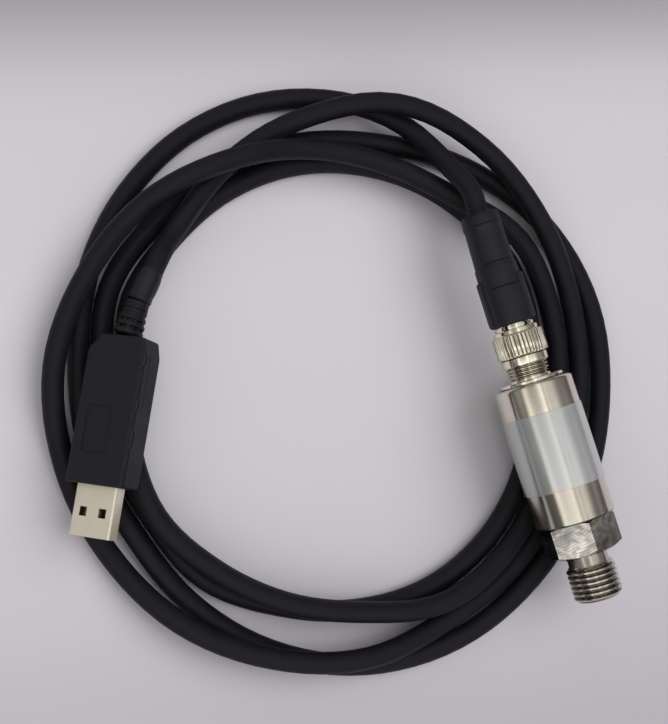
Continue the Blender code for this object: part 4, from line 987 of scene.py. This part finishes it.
def strain_relief():
    """Ribbed relief with rows of slots that are staggered round it, over a slimmer end with two rings."""
    floor_radius = CORD_RADIUS + 0.00006

    def slotted(radius, phase):
        def at(angle):
            turn = (angle / (2 * math.pi) * RELIEF_SLOTS + phase) % 1
            wall = min(max((RELIEF_SLOT_SHARE - abs(turn - 0.5) * 2) / 0.06, 0), 1)
            return radius - (radius - floor_radius) * wall
        return at

    def outer(station):
        return between(station, RELIEF_TAPER)

    faint = marked(RELIEF_DARK)

    def rib(start, end, sink, edge):
        profile = [(outer(start) - sink, start), (outer(start), start, edge), (outer(end), end, edge),
                   (outer(end) - sink, end)]
        return [(*row, faint) for row in flat_rows(profile)]

    # Painted shade on the slot floors, darker the deeper the slot
    def shade(low, inner):
        if callable(inner):
            return lambda angle: min(0.4 + (low - inner(angle)) / 0.0003, 1)
        return marked(0.7)

    rows = [(0, 0.0001), (outer(0) - 0.0008, 0.0001), (outer(0) - 0.0008, 0.0003)]
    rows += rib(0.0003, 0.0014, 0.0003, 0.00015)
    for start, phase, deep in RELIEF_ROWS:
        low = outer(start) - 0.00035
        inner = slotted(low, phase) if deep else low
        dark = shade(low, inner)
        rows += [(low, start + 0.00005, faint), (inner, start + 0.0001, dark), (inner, start + 0.00092, dark),
                 (low, start + 0.00097, faint)]
        rows += rib(start + 0.00098, start + 0.0019, 0.00035, 0.0001)
    rows += rib(0.0073, 0.0081, 0.00012, 0.0001) + rib(0.0083, RELIEF_LENGTH, 0.0001, 0.0001)
    rows.append((0, RELIEF_LENGTH))
    bm = carried(ring_mesh(rows, RELIEF_SLOTS * 24), RELIEF_START, RELIEF_HEADING)
    return show("cable_relief", bm, "boot_black", ("strain_relief",), sharp=40)


def usb_outline(inset):
    half = USB_WIDTH / 2 - inset
    rear = USB_LENGTH - inset
    left_x, left_y = USB_REAR_CUT_LEFT
    right_x, right_y = USB_REAR_CUT_RIGHT
    return [(-half, inset), (half, inset), (half, rear - right_y), (half - right_x, rear),
            (-half + left_x, rear), (-half, rear - left_y)]


def below_parting(lift):
    """Everything of the USB housing below its stepped parting line, as a bmesh."""
    line = [(-USB_LENGTH, lift)]
    for start, end in PARTING_STEPS:
        line += [(start, lift), (start + 0.0002, lift + PARTING_STEP), (end - 0.0002, lift + PARTING_STEP),
                 (end, lift)]
    line += [(2 * USB_LENGTH, lift), (2 * USB_LENGTH, -USB_HEIGHT), (-USB_LENGTH, -USB_HEIGHT)]
    bm = prism(line, -USB_WIDTH, USB_WIDTH)
    bm.transform(Matrix(((0, 0, 1, 0), (1, 0, 0, 0), (0, 1, 0, 0), (0, 0, 0, 1))))
    return bm


def usb_case():
    """The housing's rounded block, before it is split."""
    half = USB_HEIGHT / 2
    bm = prism(usb_outline(0), -half, half)
    soften(bm, USB_EDGE, 3, lambda a, b: abs(a.z - b.z) > half)
    soften(bm, USB_TOP_EDGE, 5, lambda a, b: min(a.z, b.z) > half - 0.00001)
    soften(bm, USB_EDGE, 3, lambda a, b: max(a.z, b.z) < -half + 0.00001)
    return bm


def usb_housing():
    """Cover and base of the USB plug, with a gap along their stepped line, and the bare recessed panel."""
    parting = USB_HEIGHT / 2 - PARTING_FROM_TOP
    made = []
    for name, node, operation, lift in (("usb_base", "usb_housing_lower", "INTERSECT", -PARTING_GAP / 2),
                                        ("usb_cover", "usb_housing_upper", "DIFFERENCE", PARTING_GAP / 2)):
        piece = show(name, usb_case(), "housing_grey", (node,))
        carve(piece, prism(usb_outline(USB_WALL), USB_WALL - USB_HEIGHT / 2, USB_HEIGHT / 2 - USB_WALL))
        carve(piece, block((SHELL_WIDTH + FIT, 4 * USB_WALL, SHELL_HEIGHT + FIT), (0, 0, 0)))
        carve(piece, below_parting(parting + lift), operation)
        made.append(piece)
    base, cover = made
    width, length, depth = PANEL_SIZE
    bm = block((width, length, 2 * depth), (*PANEL_PLACE, USB_HEIGHT / 2))
    soften(bm, 0.0006, 3, lambda a, b: abs(a.z - b.z) > depth)
    carve(cover, bm)
    for side in (-1, 1):
        place = (side * USB_WIDTH / 2, SIDE_GROOVE_MIDDLE, parting - SIDE_GROOVE_BELOW)
        carve(base, block(SIDE_GROOVE, place))
    for piece in made:
        modified(piece, "BEVEL", width=0.00008, segments=2, limit_method="ANGLE",
                 angle_limit=math.radians(50))
        piece.data.transform(USB_FRAME)
        smooth(piece, 30)
    return made


def usb_shell():
    """Sheet-metal shell with its latch holes on both faces and the folded seam underneath."""
    def loop(inset, corner, y):
        half_x = SHELL_WIDTH / 2 - inset
        half_z = SHELL_HEIGHT / 2 - inset
        corners = [(-half_x, -half_z, corner), (half_x, -half_z, corner), (half_x, half_z, corner),
                   (-half_x, half_z, corner)]
        return [bm.verts.new((p.x, y, p.y)) for p in rounded(corners)]

    bm = bmesh.new()
    rim = SHELL_WALL / 3
    inner = SHELL_CORNER - SHELL_WALL
    loops = [loop(0, SHELL_CORNER, SHELL_INSIDE), loop(0, SHELL_CORNER, 0.0002 - SHELL_SHOWN),
             loop(rim / 2, SHELL_CORNER - rim / 2, rim / 2 - SHELL_SHOWN),
             loop(rim, SHELL_CORNER - rim, -SHELL_SHOWN),
             loop(SHELL_WALL, inner, -SHELL_SHOWN), loop(SHELL_WALL, inner, SHELL_INSIDE)]
    for low, high in zip(loops, loops[1:] + loops[:1]):
        for k in range(len(low)):
            n = (k + 1) % len(low)
            bm.faces.new((low[k], low[n], high[n], high[k]))
    piece = show("usb_metal_shell", bm, "usb_shell", ("usb_shell",))
    for side in (-1, 1):
        place = (side * LATCH_SPACING / 2, LATCH_FROM_TIP - SHELL_SHOWN, 0)
        carve(piece, block((*LATCH_HOLE, 2 * SHELL_HEIGHT), place))
    carve(piece, block(SEAM_SIZE, (SEAM_ASIDE, -SHELL_SHOWN, -SHELL_HEIGHT / 2)))
    for mark in (0.0026, 0.0033):
        carve(piece, block((0.0001, 0.00025, 0.0006), (SHELL_WIDTH / 2, -mark, 0.0009)))
    piece.data.transform(USB_FRAME)
    return smooth(piece, 30)


def dress_inner_parts():
    """The pieces that stay as they are in the model, most of them inside."""
    slots = {row["node"]: row["material_slot"] for row in frame["record"]["subparts"]}
    slots["usb_tongue"] = "insert_black"
    for name, node in frame["nodes"].items():
        if node.hide_render:
            continue
        node.data.materials.clear()
        node.data.materials.append(LOOKS[slots[name]])


bpy.context.scene.view_settings.view_transform = "Standard"
camera()
floor()
lamp("side", LAMP_PLACE, LAMP_LEVEL, LAMP_SPREAD)
room()
cable, cable_path, cable_length = cord()
process_fitting()
housing()
connector_base()
coupling_nut()
retaining_collar()
connector_boot()
cable_end = [shrink_sleeve(), strain_relief(), *usb_housing(), usb_shell()]
dress_inner_parts()
